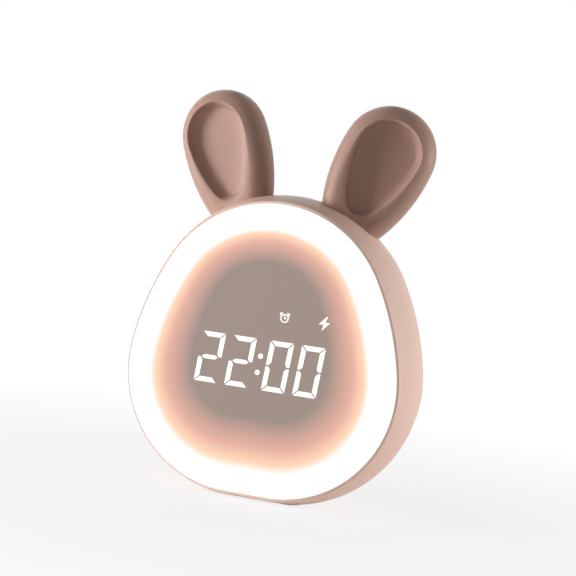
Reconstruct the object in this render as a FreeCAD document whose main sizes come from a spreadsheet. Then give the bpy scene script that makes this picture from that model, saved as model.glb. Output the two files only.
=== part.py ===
"""Rabbit-eared alarm clock with a night light, as an assembly of separate pieces.

The clock stands on +Z, faces -Y, and its origin is the centre of its footprint.
The face is an egg: a flat foot, two low arcs, two side arcs and a crown arc. Every
egg-shaped piece is that one outline grown or shrunk, at its own depth along Y.
"""
import FreeCAD, Part

import math
import os

import Sketcher
from FreeCAD import Placement, Rotation, Vector

SIZES = (
    # the face's outline
    ("flat_half", 8.0, "half of the flat at the foot of the face"),
    ("low_radius", 43.0, "radius of the low arcs"),
    ("side_radius", 100.0, "radius of the side arcs"),
    ("crown_radius", 44.5, "radius of the crown arc"),
    ("face_height", 106.0, "height of the face"),
    # the shells
    ("depth", 45.0, "front of the face to the back of the clock"),
    ("fit_gap", 0.2, "clearance between parts that drop into each other"),
    ("cover_rim", 3.0, "how far the face cover stands in front of the housing"),
    ("cover_plate", 2.0, "thickness of the face cover"),
    ("cover_edge", 2.5, "rounding of the face cover's front edge"),
    ("skirt_depth", 5.0, "how far the cover's skirt goes into the housing"),
    ("skirt_wall", 1.8, "thickness of the cover's skirt"),
    ("shell_wall", 2.2, "wall of the housing"),
    ("lip_grow", 0.9, "housing's mouth outside the face's outline"),
    ("belly_grow", 3.8, "housing's fattest section outside the face's outline"),
    ("belly_back", 19.5, "front of the face to the fattest section"),
    ("seam_grow", 1.5, "seam of the rear cover outside the face's outline"),
    ("rear_depth", 9.0, "depth of the rear cover behind its seam"),
    ("rear_wall", 2.4, "back wall of the rear cover"),
    ("rear_side", 3.9, "side wall of the rear cover"),
    ("rear_edge", 8.0, "rounding of the rear cover"),
    ("rear_lip", 2.5, "how far the rear cover's lip goes into the housing"),
    ("ledge_reach", 8.0, "inner edge of the housing's ledge, inside the outline"),
    ("ledge_thick", 1.8, "thickness of the ledge"),
    # the foot
    ("under_drop", 1.8, "housing's flat underside below the foot of the face"),
    ("under_wall", 1.8, "wall above the flat underside"),
    ("foot_stand", 0.6, "how far the foot stands below the housing"),
    ("foot_sink", 1.0, "how far the foot is let into the housing"),
    ("foot_long", 36.0, "foot from side to side"),
    ("foot_wide", 20.0, "foot from front to back"),
    ("foot_corner", 5.0, "rounding of the foot's corners"),
    # the night light
    ("film_thick", 0.3, "smoked film behind the face cover"),
    ("glow_width", 10.4, "width of the glowing band, at the film's edge"),
    ("diffuser_thick", 1.0, "diffuser ring"),
    ("baffle_wall", 1.4, "wall between the light and the display"),
    ("tray_floor", 1.4, "floor of the light tray"),
    ("tray_inset", 1.6, "edge of the tray inside the outline"),
    ("tray_back", 11.9, "front of the face to the back of the tray's floor"),
    ("board_thick", 1.2, "thickness of the light board"),
    ("board_inset", 3.8, "outer edge of the light board inside the outline"),
    ("led_count", 24, "lamps on the light board"),
    ("led_long", 3.5, "lamp along the band"),
    ("led_wide", 2.8, "lamp across the band"),
    ("led_tall", 0.8, "lamp's height"),
    # the display
    ("digit_z", 48.0, "middle of the digits above the foot of the face"),
    ("digit_height", 17.8, "height of a digit"),
    ("digit_width", 8.7, "width of a digit"),
    ("digit_pitch", 11.9, "one digit to the next"),
    ("colon_gap", 2.3, "extra room for the colon"),
    ("stroke", 1.9, "width of a segment"),
    ("stroke_gap", 0.35, "gap between segments"),
    ("slant", 8.0, "lean of the digits in degrees"),
    ("colon_radius", 0.95, "radius of a colon dot"),
    ("colon_apart", 6.0, "one colon dot to the other"),
    ("icon_rise", 17.7, "middle of the icons above the middle of the digits"),
    ("alarm_icon_x", 7.5, "middle of the alarm icon"),
    ("charge_icon_x", 22.5, "middle of the charging icon"),
    ("icon_size", 4.8, "height of an icon"),
    ("window_deep", 1.5, "depth of the display's windows"),
    ("block_width", 54.0, "display block from side to side"),
    ("block_below", 13.0, "display block below the middle of the digits"),
    ("block_above", 22.0, "display block above the middle of the digits"),
    ("display_board_width", 66.0, "display board from side to side"),
    ("display_board_thick", 1.6, "thickness of the display board"),
    ("display_screw_x", 29.8, "display board's screws from the middle"),
    ("display_screw_low", 10.0, "display board's low screws below the digits"),
    ("display_screw_high", 16.0, "display board's high screws above the digits"),
    # the rear board and what it carries
    ("main_width", 62.0, "main board from side to side"),
    ("main_low", 14.0, "bottom of the main board above the foot of the face"),
    ("main_high", 68.0, "top of the main board above the foot of the face"),
    ("main_thick", 1.6, "thickness of the main board"),
    ("main_gap", 6.1, "main board to the rear cover's wall"),
    ("main_screw_x", 27.0, "main board's screws from the middle"),
    ("main_screw_inset", 5.0, "main board's screws from its top and bottom"),
    ("battery_width", 34.0, "battery from side to side"),
    ("battery_height", 42.0, "battery from bottom to top"),
    ("battery_thick", 8.0, "battery from front to back"),
    ("battery_low", 22.0, "bottom of the battery above the foot of the face"),
    ("battery_corner", 2.0, "rounding of the battery's sides"),
    ("tape_thick", 1.0, "foam tape behind the battery"),
    # the keys
    ("panel_deep", 1.0, "depth of the control panel's recess"),
    ("panel_width", 54.0, "control panel from side to side"),
    ("panel_low", 22.0, "bottom of the control panel above the foot of the face"),
    ("panel_high", 58.0, "top of the control panel above the foot of the face"),
    ("panel_corner", 6.0, "rounding of the control panel's corners"),
    ("key_z", 48.0, "middle of the keys above the foot of the face"),
    ("port_z", 30.0, "middle of the socket above the foot of the face"),
    ("key_apart", 16.0, "one key to the next"),
    ("key_long", 10.0, "key cap from side to side"),
    ("key_tall", 6.0, "key cap from bottom to top"),
    ("key_stand", 0.8, "how far a key stands out of the control panel"),
    ("key_gap", 0.15, "clearance round a key"),
    ("key_flange", 1.2, "flange that keeps a key in"),
    ("flange_reach", 1.2, "how far the flange reaches round the cap"),
    ("flange_gap", 0.1, "flange to the rear cover's wall"),
    ("switch_side", 6.0, "side of a key switch"),
    ("switch_tall", 3.5, "height of a key switch"),
    ("plunger_radius", 1.7, "radius of a key switch's plunger"),
    ("plunger_bore", 1.8, "bore of a key switch"),
    ("plunger_sunk", 1.3, "how far the plunger sits in its switch"),
    ("plunger_room", 0.8, "room under the plunger"),
    # the sliding power switch
    ("slider_x", -17.0, "middle of the power switch's travel"),
    ("slider_travel", 2.0, "travel of the power switch"),
    ("knob_long", 4.0, "power knob from side to side"),
    ("knob_tall", 3.4, "power knob from bottom to top"),
    ("slide_switch_long", 8.6, "slide switch from side to side"),
    ("slide_switch_tall", 3.7, "slide switch from bottom to top"),
    ("slide_switch_deep", 3.0, "slide switch from front to back"),
    ("lever_side", 1.4, "side of the slide switch's lever"),
    ("lever_sunk", 1.0, "how far the lever sits in its switch"),
    # the socket and the reset hole
    ("port_width", 8.94, "charging socket's shell from side to side"),
    ("port_height", 3.26, "charging socket's shell from bottom to top"),
    ("port_wall", 0.3, "wall of the charging socket's shell"),
    ("tongue_thick", 0.7, "tongue inside the charging socket"),
    ("tongue_width", 6.7, "tongue from side to side"),
    ("tongue_back", 0.9, "tongue behind the socket's mouth"),
    ("reset_x", 17.0, "reset hole from the middle"),
    ("reset_radius", 0.9, "radius of the reset hole"),
    # the speaker
    ("speaker_z", 83.0, "middle of the speaker above the foot of the face"),
    ("speaker_radius", 15.0, "radius of the speaker's rim"),
    ("speaker_rim", 1.2, "thickness of the speaker's rim"),
    ("gasket_thick", 0.6, "foam ring between the speaker and the cover"),
    ("gasket_wide", 2.5, "width of the foam ring"),
    ("basket_deep", 4.5, "depth of the speaker's basket"),
    ("magnet_radius", 9.0, "radius of the speaker's magnet"),
    ("magnet_thick", 3.5, "thickness of the speaker's magnet"),
    ("grille_radius", 0.9, "radius of a grille hole"),
    ("grille_pitch", 3.6, "one grille hole to the next"),
    ("grille_rings", 3, "rings of grille holes round the middle one"),
    # the screws
    ("post_inset", 3.6, "rear screws inside the outline"),
    ("post_radius", 3.4, "radius of the posts for the rear screws"),
    ("low_post_angle", -35.0, "low posts round the low arc's centre in degrees"),
    ("high_post_angle", 30.0, "high posts round the crown's centre in degrees"),
    ("post_gap", 0.2, "housing's post to the rear cover's post"),
    ("rear_floor", 4.0, "rear cover's post under a screw's head"),
    ("rear_screw_long", 12.0, "shank of a rear screw"),
    ("screw_radius", 1.1, "radius of a shank"),
    ("head_radius", 2.1, "radius of a screw's head"),
    ("head_tall", 1.4, "height of a screw's head"),
    ("cross_deep", 0.7, "depth of the cross in a screw's head"),
    ("thread_gap", 0.05, "shank to its pilot hole"),
    ("hole_gap", 0.3, "shank to its clearance hole"),
    ("short_screw", 5.0, "shank of a board's screw"),
    ("boss_radius", 2.6, "radius of a board screw's boss"),
    ("tray_screw_inset", 6.2, "tray's screws inside the outline"),
    # the ears
    ("ear_long", 58.5, "ear from its root to its tip"),
    ("ear_tip", 17.3, "radius of the ear's tip"),
    ("ear_side", 62.0, "radius of the ear's sides"),
    ("ear_root", 9.5, "radius of the ear's root"),
    ("ear_thick", 14.5, "thickness of the ear"),
    ("ear_edge", 6.8, "rounding of the ear's edges"),
    ("ear_x", 22.0, "middle of the ear at the top of the face"),
    ("ear_y", 22.0, "front of the face to the middle of the ear"),
    ("ear_z", 91.0, "root of the ear above the foot of the face"),
    ("ear_lean", 22.5, "outward lean of the ears in degrees"),
    ("ear_turn", 11.0, "outward turn of the ears in degrees"),
    ("ear_tilt", 2.0, "backward tilt of the ears in degrees"),
    ("dish_rim", 5.0, "rim round the ear's dish"),
    ("dish_side", 52.0, "radius of the dish's sides"),
    ("dish_root", 7.0, "radius of the dish's foot"),
    ("dish_low", 16.0, "bottom of the dish above the ear's root"),
    ("dish_deep", 4.4, "depth of the ear's dish"),
    ("dish_edge", 3.0, "rounding inside the dish"),
    ("dish_lip", 1.0, "rounding at the mouth of the dish"),
    ("peg_back", 1.8, "ear's peg behind the middle of the ear"),
    ("peg_radius", 4.0, "radius of the ear's peg"),
    ("peg_gap", 0.2, "clearance round the peg"),
    ("peg_end", 3.0, "end of the peg above the ear's root"),
    ("ear_boss", 7.0, "radius of the housing's boss round the peg"),
    ("retainer_thick", 1.8, "plate that holds the ear's peg"),
    # the leads
    ("wire_radius", 0.55, "radius of a lead"),
    ("wire_apart", 1.6, "one lead of a pair to the other"),
    ("plug_width", 6.0, "lead socket from side to side"),
    ("plug_height", 5.0, "lead socket from bottom to top"),
    ("plug_deep", 4.4, "lead socket from front to back"),
    ("ribbon_x", 13.0, "middle of the ribbon cable"),
    ("ribbon_width", 12.0, "ribbon cable from side to side"),
    ("ribbon_thick", 0.3, "thickness of the ribbon cable"),
    ("ribbon_bend", 3.0, "bend of the ribbon cable"),
    ("ribbon_rise", 6.0, "top of the ribbon cable above its socket"),
    ("foil_thick", 0.3, "touch foil under the crown"),
    ("foil_long", 13.0, "touch foil from side to side"),
    ("foil_wide", 8.0, "touch foil from front to back"),
)

doc = FreeCAD.newDocument("AlarmClock")
sheet = doc.addObject("Spreadsheet::Sheet", "Sizes")
for row, (alias, number, note) in enumerate(SIZES, 1):
    sheet.set(f"A{row}", note)
    sheet.set(f"B{row}", str(number))
    sheet.setAlias(f"B{row}", alias)
doc.recompute()


class Size:
    """A size of the sheet, or a sum made from some: its formula and its value."""

    def __init__(self, text, value):
        self.text = text
        self.value = value

    def joined(self, sign, other, value):
        return Size(f"({self.text} {sign} {sized(other).text})", value)

    def __add__(self, other):
        return self.joined("+", other, self.value + sized(other).value)

    def __sub__(self, other):
        return self.joined("-", other, self.value - sized(other).value)

    def __mul__(self, other):
        return self.joined("*", other, self.value * sized(other).value)

    def __truediv__(self, other):
        return self.joined("/", other, self.value / sized(other).value)

    def __neg__(self):
        return sized(0) - self

    def __float__(self):
        return float(self.value)


def sized(number):
    return number if isinstance(number, Size) else Size(repr(float(number)), number)


def size(alias):
    return Size(f"Sizes.{alias}", float(sheet.get(alias)))


parts = {}


def keep(label, item):
    """Names a finished sub-part, so that it is checked and written out."""
    item.Label = label
    parts[label] = item
    return item


def bind(item, **formulas):
    for prop, formula in formulas.items():
        item.setExpression(prop.replace("_", "."), sized(formula).text)


def place(item, x, y, z):
    for axis, formula in (("x", x), ("y", y), ("z", z)):
        item.setExpression(f"Placement.Base.{axis}", sized(formula).text)


def block(name, x, y, z):
    """A box given by the pair of its ends along each axis."""
    item = doc.addObject("Part::Box", name)
    ends = [(sized(low), sized(high)) for low, high in (x, y, z)]
    for prop, (low, high) in zip(("Length", "Width", "Height"), ends):
        item.setExpression(prop, (high - low).text)
    place(item, *(low for low, high in ends))
    return item


def middle(centre, width):
    """The two ends of a width laid about its centre."""
    return sized(centre) - sized(width) / 2, sized(centre) + sized(width) / 2


def rod(name, radius, x, y, z):
    """A cylinder along Y, between the pair of ends y."""
    item = doc.addObject("Part::Cylinder", name)
    item.Placement = Placement(Vector(), Rotation(Vector(1, 0, 0), -90))
    bind(item, Radius=radius, Height=sized(y[1]) - y[0])
    place(item, x, y[0], z)
    return item


def cone(name, start_radius, end_radius, x, y, z):
    """A cone along Y, between the pair of ends y."""
    item = doc.addObject("Part::Cone", name)
    item.Placement = Placement(Vector(), Rotation(Vector(1, 0, 0), -90))
    bind(item, Radius1=start_radius, Radius2=end_radius, Height=sized(y[1]) - y[0])
    place(item, x, y[0], z)
    return item


def fuse(name, *items):
    if len(items) == 1:
        return items[0]
    item = doc.addObject("Part::MultiFuse", name)
    item.Shapes = list(items)
    return item


def cut(name, base, *tools):
    item = doc.addObject("Part::Cut", name)
    item.Base = base
    item.Tool = fuse(f"{name}_tools", *tools)
    return item


def common(name, *items):
    item = doc.addObject("Part::MultiCommon", name)
    item.Shapes = list(items)
    return item


def group(name, *items):
    item = doc.addObject("Part::Compound", name)
    item.Links = list(items)
    return item


# where the layers lie along Y, from the front
FRONT = -size("depth") / 2
BACK = size("depth") / 2
PLATE_BACK = FRONT + size("cover_plate")
MOUTH = FRONT + size("cover_rim")
FILM_BACK = PLATE_BACK + size("film_thick")
TRAY_BACK = FRONT + size("tray_back")
TRAY_FRONT = TRAY_BACK - size("tray_floor")
LEDGE_BACK = TRAY_BACK + size("ledge_thick")
BELLY = FRONT + size("belly_back")
SEAM = BACK - size("rear_depth")
REAR_INNER = BACK - size("rear_wall")
PANEL = BACK - size("panel_deep")
MAIN_BACK = REAR_INNER - size("main_gap")
MAIN_FRONT = MAIN_BACK - size("main_thick")
FLANGE_BACK = REAR_INNER - size("flange_gap")
FLANGE_FRONT = FLANGE_BACK - size("key_flange")
DISPLAY_BACK = TRAY_BACK + size("display_board_thick")

# the foot of the face, above the ground
FACE_FOOT = size("foot_stand") + size("under_drop")


def up(alias):
    """A height that the sheet gives above the foot of the face."""
    return FACE_FOOT + size(alias)


DIGITS = up("digit_z")


def egg_arcs(flat, low, low_up, side, crown, crown_up):
    """Centres, radii and joint angles of an egg's low, side and crown arcs."""
    low_at = Vector(flat, low_up, 0)
    crown_at = Vector(0, crown_up, 0)

    def side_at(angle):
        reach = side - low
        return low_at - Vector(reach * math.cos(angle), reach * math.sin(angle), 0)

    # halve the interval until the side arc is tangent to the crown
    start, end = -0.6, 1.2
    for _ in range(60):
        angle = (start + end) / 2
        if (side_at(angle) - crown_at).Length > side - crown:
            end = angle
        else:
            start = angle
    over = crown_at - side_at(angle)
    return low_at, side_at(angle), crown_at, low, side, crown, angle, math.atan2(over.y, over.x)


def flipped(point):
    return Vector(-point.x, point.y, point.z)


def egg_edges(*sizes):
    """The outline, anticlockwise from its foot; an egg with no flat starts with its low arc."""
    low_at, side_at, crown_at, low, side, crown, first, second = egg_arcs(*sizes)
    axis = Vector(0, 0, 1)
    half = math.pi / 2

    def arc(centre, radius, start, end):
        return Part.ArcOfCircle(Part.Circle(centre, axis, radius), start, end)

    upper = [
        arc(side_at, side, first, second),
        arc(crown_at, crown, second, math.pi - second),
        arc(flipped(side_at), side, math.pi - second, math.pi - first),
    ]
    if low_at.x == 0:
        return [arc(low_at, low, math.pi - first, 2 * math.pi + first), *upper]
    foot = Vector(low_at.x, low_at.y - low, 0)
    right = arc(low_at, low, -half, first)
    left = arc(flipped(low_at), low, math.pi - first, 3 * half)
    return [Part.LineSegment(flipped(foot), foot), right, *upper, left]


def face_edges(grow):
    """The face's outline, grown outwards."""
    flat, low, side, crown, tall = (
        float(size(alias)) for alias in ("flat_half", "low_radius", "side_radius", "crown_radius", "face_height")
    )
    return egg_edges(flat, low + grow, low, side + grow, crown + grow, tall - crown)


def drive(sketch, word, constraint, formula):
    """Adds a named constraint whose value is a formula of the sheet."""
    formula = sized(formula)
    number = sketch.addConstraint(Sketcher.Constraint(*constraint, float(formula)))
    sketch.renameConstraint(number, word)
    sketch.setExpression(f"Constraints.{word}", formula.text)


def egg_sketch(body, name, y, *grows):
    """A sketch of the face's outline at a depth, once for each amount it is grown."""
    sketch = body.newObject("Sketcher::SketchObject", name)
    plane = [o for o in body.Origin.OriginFeatures if o.Role == "XZ_Plane"][0]
    sketch.AttachmentSupport = [(plane, "")]
    sketch.MapMode = "FlatFace"
    sketch.setExpression("AttachmentOffset.Base.z", (-sized(y)).text)
    sketch.setExpression("AttachmentOffset.Base.y", FACE_FOOT.text)
    rule = Sketcher.Constraint
    for turn, grow in enumerate(map(sized, grows)):
        edges = [sketch.addGeometry(edge, False) for edge in face_edges(float(grow))]
        foot, low, side, crown, left_side, left_low = edges
        for here, there in zip(edges, edges[1:] + edges[:1]):
            sketch.addConstraint(rule("Tangent", here, 2, there, 1))
        sketch.addConstraint(rule("Symmetric", foot, 1, foot, 2, -2))
        sketch.addConstraint(rule("Equal", low, left_low))
        sketch.addConstraint(rule("Equal", side, left_side))
        driven = (
            ("flat", ("DistanceX", foot, 1, foot, 2), size("flat_half") * 2),
            ("low", ("Radius", low), size("low_radius") + grow),
            ("side", ("Radius", side), size("side_radius") + grow),
            ("crown", ("Radius", crown), size("crown_radius") + grow),
            ("low_up", ("DistanceY", -1, 1, low, 3), size("low_radius")),
            ("crown_up", ("DistanceY", -1, 1, crown, 3), size("face_height") - size("crown_radius")),
        )
        for word, constraint, formula in driven:
            drive(sketch, f"{word}_{turn}", constraint, formula)
    return sketch


def rounded_sketch(body, name, plane_role, offset, x, z, corner):
    """A rectangle with round corners, between the ends x and z."""
    sketch = body.newObject("Sketcher::SketchObject", name)
    plane = [o for o in body.Origin.OriginFeatures if o.Role == plane_role][0]
    sketch.AttachmentSupport = [(plane, "")]
    sketch.MapMode = "FlatFace"
    sketch.setExpression("AttachmentOffset.Base.z", sized(offset).text)
    (left, right), (low, high) = [(sized(a), sized(b)) for a, b in (x, z)]
    radius = sized(corner)
    r = float(radius)
    x0, x1, z0, z1 = (float(v) for v in (left, right, low, high))
    axis = Vector(0, 0, 1)
    half = math.pi / 2
    rule = Sketcher.Constraint
    lines = [
        ((x0 + r, z0), (x1 - r, z0)),
        ((x1, z0 + r), (x1, z1 - r)),
        ((x1 - r, z1), (x0 + r, z1)),
        ((x0, z1 - r), (x0, z0 + r)),
    ]
    centres = [(x1 - r, z0 + r), (x1 - r, z1 - r), (x0 + r, z1 - r), (x0 + r, z0 + r)]
    edges = []
    for turn, ((start, end), centre) in enumerate(zip(lines, centres)):
        edges.append(sketch.addGeometry(Part.LineSegment(Vector(*start, 0), Vector(*end, 0)), False))
        circle = Part.Circle(Vector(*centre, 0), axis, r)
        edges.append(sketch.addGeometry(Part.ArcOfCircle(circle, (turn - 1) * half, turn * half), False))
    for here, there in zip(edges, edges[1:] + edges[:1]):
        sketch.addConstraint(rule("Tangent", here, 2, there, 1))
    for arc in edges[3::2]:
        sketch.addConstraint(rule("Equal", edges[1], arc))
    bottom, right_side, top, left_side = edges[::2]
    sketch.addConstraint(rule("Horizontal", bottom))
    sketch.addConstraint(rule("Vertical", right_side))
    drive(sketch, "corner", ("Radius", edges[1]), radius)
    drive(sketch, "right", ("DistanceX", -1, 1, right_side, 1), right)
    drive(sketch, "left", ("DistanceX", -1, 1, left_side, 1), left)
    drive(sketch, "low", ("DistanceY", -1, 1, bottom, 1), low)
    drive(sketch, "high", ("DistanceY", -1, 1, top, 1), high)
    return sketch


def new_body(name):
    return doc.addObject("PartDesign::Body", name)


def pad(body, name, sketch, length):
    """Pads a sketch of the XZ plane towards +Y, from where it lies."""
    feature = body.newObject("PartDesign::Pad", name)
    feature.Profile = sketch
    feature.Reversed = True
    bind(feature, Length=length)
    return feature


def egg_prism(name, y, *grows):
    """The outline between the ends y; a second amount cuts the hole of a ring."""
    body = new_body(name)
    sketch = egg_sketch(body, f"{name}_outline", y[0], *grows)
    pad(body, f"{name}_pad", sketch, sized(y[1]) - y[0])
    return body


def rounded_prism(name, y, x, z, corner):
    body = new_body(name)
    sketch = rounded_sketch(body, f"{name}_outline", "XZ_Plane", -sized(y[0]), x, z, corner)
    pad(body, f"{name}_pad", sketch, sized(y[1]) - y[0])
    return body


def edges_at(shape, y, near=1e-3):
    """Names of the edges that lie wholly in the plane at that depth."""
    found = []
    for number, edge in enumerate(shape.Edges, 1):
        box = edge.BoundBox
        if abs(box.YMin - y) < near and abs(box.YMax - y) < near:
            found.append(f"Edge{number}")
    return found


def round_edges(body, name, feature, y, radius):
    doc.recompute()
    fillet = body.newObject("PartDesign::Fillet", name)
    fillet.Base = (feature, edges_at(feature.Shape, float(sized(y))))
    bind(fillet, Radius=radius)
    return fillet


def belly_loft(name, shrink, start=None, end=None):
    """The housing's barrel between its mouth and its seam, shrunk by a wall."""
    body = new_body(name)
    sections = [
        egg_sketch(body, f"{name}_mouth", start or MOUTH, size("lip_grow") - shrink),
        egg_sketch(body, f"{name}_belly", BELLY, size("belly_grow") - shrink),
        egg_sketch(body, f"{name}_seam", end or SEAM, size("seam_grow") - shrink),
    ]
    loft = body.newObject("PartDesign::AdditiveLoft", f"{name}_loft")
    loft.Profile = sections[0]
    loft.Sections = sections[1:]
    return body


def arc_point(centre, radius, degrees):
    angle = math.radians(degrees)
    return centre.x + radius * math.cos(angle), centre.y + radius * math.sin(angle)


def turned(base, radius, alias, sine):
    """A formula for a point on an arc, from the sheet's angle in degrees."""
    word = "sin" if sine else "cos"
    angle = size(alias)
    value = getattr(math, word)(math.radians(float(angle)))
    return sized(base) + sized(radius) * Size(f"{word}({angle.text} * 1 deg)", value)


# the rear screws' places: two on the low arcs and two on the crown
LOW_POST_REACH = size("low_radius") - size("post_inset")
HIGH_POST_REACH = size("crown_radius") - size("post_inset")
LOW_POST = (
    turned(size("flat_half"), LOW_POST_REACH, "low_post_angle", False),
    turned(FACE_FOOT + size("low_radius"), LOW_POST_REACH, "low_post_angle", True),
)
HIGH_POST = (
    turned(0, HIGH_POST_REACH, "high_post_angle", False),
    turned(FACE_FOOT + size("face_height") - size("crown_radius"), HIGH_POST_REACH, "high_post_angle", True),
)
POSTS = [(-x, z) for x, z in (LOW_POST, HIGH_POST)] + [LOW_POST, HIGH_POST]
POST_END = SEAM - size("rear_lip") - size("post_gap")
REAR_POST_START = SEAM - size("rear_lip")
HEAD_SEAT = REAR_POST_START + size("rear_floor")

# the tray's screws: two beside the foot's flat and two beside the crown, at its middle height
TRAY_SCREW_LOW = FACE_FOOT + size("tray_screw_inset")
TRAY_SCREW_HIGH = FACE_FOOT + size("face_height") - size("tray_screw_inset")
TRAY_SCREW_SIDE = size("flat_half") + size("low_radius") - size("tray_screw_inset")
TRAY_SCREWS = [
    (size("flat_half") * 0, TRAY_SCREW_HIGH),
    (-size("flat_half"), TRAY_SCREW_LOW),
    (size("flat_half"), TRAY_SCREW_LOW),
    (-TRAY_SCREW_SIDE, FACE_FOOT + size("low_radius")),
    (TRAY_SCREW_SIDE, FACE_FOOT + size("low_radius")),
]

DISPLAY_SCREWS = [
    (side * size("display_screw_x"), DIGITS + rise)
    for side in (sized(-1), sized(1))
    for rise in (-size("display_screw_low"), size("display_screw_high"))
]
MAIN_SCREWS = [
    (side * size("main_screw_x"), height)
    for side in (sized(-1), sized(1))
    for height in (up("main_low") + size("main_screw_inset"), up("main_high") - size("main_screw_inset"))
]
PILOT = size("screw_radius") + size("thread_gap")
CLEAR = size("screw_radius") + size("hole_gap")


def screw(name, x, z, seat, length, backwards=False):
    """A pan-head screw along Y with a cross recess: its head stands on seat and its
    shank goes to +Y, or to -Y when it is driven from behind."""
    way = -1 if backwards else 1
    head_end = sized(seat) - size("head_tall") * way
    shank_end = sized(seat) + sized(length) * way
    cross_end = head_end + size("cross_deep") * way

    def ends(a, b):
        return (b, a) if backwards else (a, b)

    head = rod(f"{name}_head", size("head_radius"), x, ends(head_end, seat), z)
    shank = rod(f"{name}_shank", size("screw_radius"), x, ends(seat, shank_end), z)
    arm, thin = size("head_radius") * 1.2, size("head_radius") * 0.3
    cross = [
        block(f"{name}_slot{turn}", middle(x, wide), ends(head_end, cross_end), middle(z, tall))
        for turn, (wide, tall) in enumerate(((arm, thin), (thin, arm)))
    ]
    return cut(name, fuse(f"{name}_blank", head, shank), *cross)


def screws(label, places, seat, length, backwards=False):
    made = [
        screw(f"{label}_{turn}", x, z, seat, length, backwards)
        for turn, (x, z) in enumerate(places)
    ]
    keep(label, group(label, *made))


def holes(name, radius, places, y):
    return [rod(f"{name}_{turn}", radius, x, y, z) for turn, (x, z) in enumerate(places)]


# ears: each is a flat egg with a dish, leaning out, turned out and tilted back
EAR_Y = FRONT + size("ear_y")


def ear_frame(side):
    """Placement of an ear's own frame: its Z runs from root to tip, its -Y faces front."""
    lean = Rotation(Vector(0, 1, 0), side * float(size("ear_lean")))
    tilt = Rotation(Vector(1, 0, 0), -float(size("ear_tilt")))
    turn = Rotation(Vector(0, 0, 1), side * float(size("ear_turn")))
    top = float(size("face_height")) - float(size("ear_z"))
    back = lean.multVec(Vector(0, 0, top))
    root = Vector(side * float(size("ear_x")) - back.x, float(EAR_Y), float(up("ear_z")))
    return Placement(root, lean.multiply(tilt).multiply(turn))


def ear_outline(body, name, y, root, root_up, side, tip):
    """A long egg with its tip where the ear's is: a small arc below, a large one above."""
    sketch = body.newObject("Sketcher::SketchObject", name)
    plane = [o for o in body.Origin.OriginFeatures if o.Role == "XZ_Plane"][0]
    sketch.AttachmentSupport = [(plane, "")]
    sketch.MapMode = "FlatFace"
    sketch.setExpression("AttachmentOffset.Base.z", (-sized(y)).text)
    tip_up = size("ear_long") - size("ear_tip")
    outline = egg_edges(0.0, *(float(value) for value in (root, root_up, side, tip, tip_up)))
    edges = [sketch.addGeometry(edge, False) for edge in outline]
    low, right, high, left = edges
    rule = Sketcher.Constraint
    for here, there in zip(edges, edges[1:] + edges[:1]):
        sketch.addConstraint(rule("Tangent", here, 2, there, 1))
    sketch.addConstraint(rule("PointOnObject", low, 3, -2))
    sketch.addConstraint(rule("PointOnObject", high, 3, -2))
    sketch.addConstraint(rule("Equal", right, left))
    drive(sketch, "root", ("Radius", low), root)
    drive(sketch, "side", ("Radius", right), side)
    drive(sketch, "tip", ("Radius", high), tip)
    drive(sketch, "root_up", ("DistanceY", -1, 1, low, 3), root_up)
    drive(sketch, "tip_up", ("DistanceY", -1, 1, high, 3), tip_up)
    return sketch


def ear_blank(name):
    """An ear in its own frame, with round edges and the dish in its front."""
    body = new_body(name)
    half = size("ear_thick") / 2
    outline = ear_outline(
        body, f"{name}_outline", -half, size("ear_root"), size("ear_root"), size("ear_side"), size("ear_tip"),
    )
    slab = pad(body, f"{name}_slab", outline, size("ear_thick"))
    doc.recompute()
    rim = body.newObject("PartDesign::Fillet", f"{name}_rim")
    both = edges_at(slab.Shape, -float(half)) + edges_at(slab.Shape, float(half))
    rim.Base = (slab, both)
    bind(rim, Radius=size("ear_edge"))
    hollow = ear_outline(
        body, f"{name}_dish_outline", -half, size("dish_root"), size("dish_low") + size("dish_root"),
        size("dish_side"), size("ear_tip") - size("dish_rim"),
    )
    dish = body.newObject("PartDesign::Pocket", f"{name}_dish")
    dish.Profile = hollow
    bind(dish, Length=size("dish_deep"))
    doc.recompute()
    floor_y = float(size("dish_deep") - half)
    soft = body.newObject("PartDesign::Fillet", f"{name}_dish_floor")
    soft.Base = (dish, edges_at(dish.Shape, floor_y))
    bind(soft, Radius=size("dish_edge"))
    return body


def ear_rod(name, radius, start, end, side):
    """A cylinder along the axis of an ear's peg, in the clock's frame."""
    item = doc.addObject("Part::Cylinder", name)
    bind(item, Radius=radius, Height=sized(end) - start)
    start_at = Vector(0, float(size("peg_back")), float(sized(start)))
    item.Placement = ear_frame(side).multiply(Placement(start_at, Rotation()))
    return item


def placed(name, body, placement):
    """A copy of a body in another place."""
    doc.recompute()
    item = doc.addObject("Part::Feature", name)
    item.Shape = body.Shape
    item.Placement = placement
    return item


SIDES = (("left", -1), ("right", 1))
PEG_END = size("peg_end")
RETAINER_END = PEG_END - size("retainer_thick")


def under_block(name, top):
    """Everything below a height."""
    reach = size("low_radius") * 2
    return block(name, (-reach, reach), (FRONT * 2, BACK * 2), (-reach, top))


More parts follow.
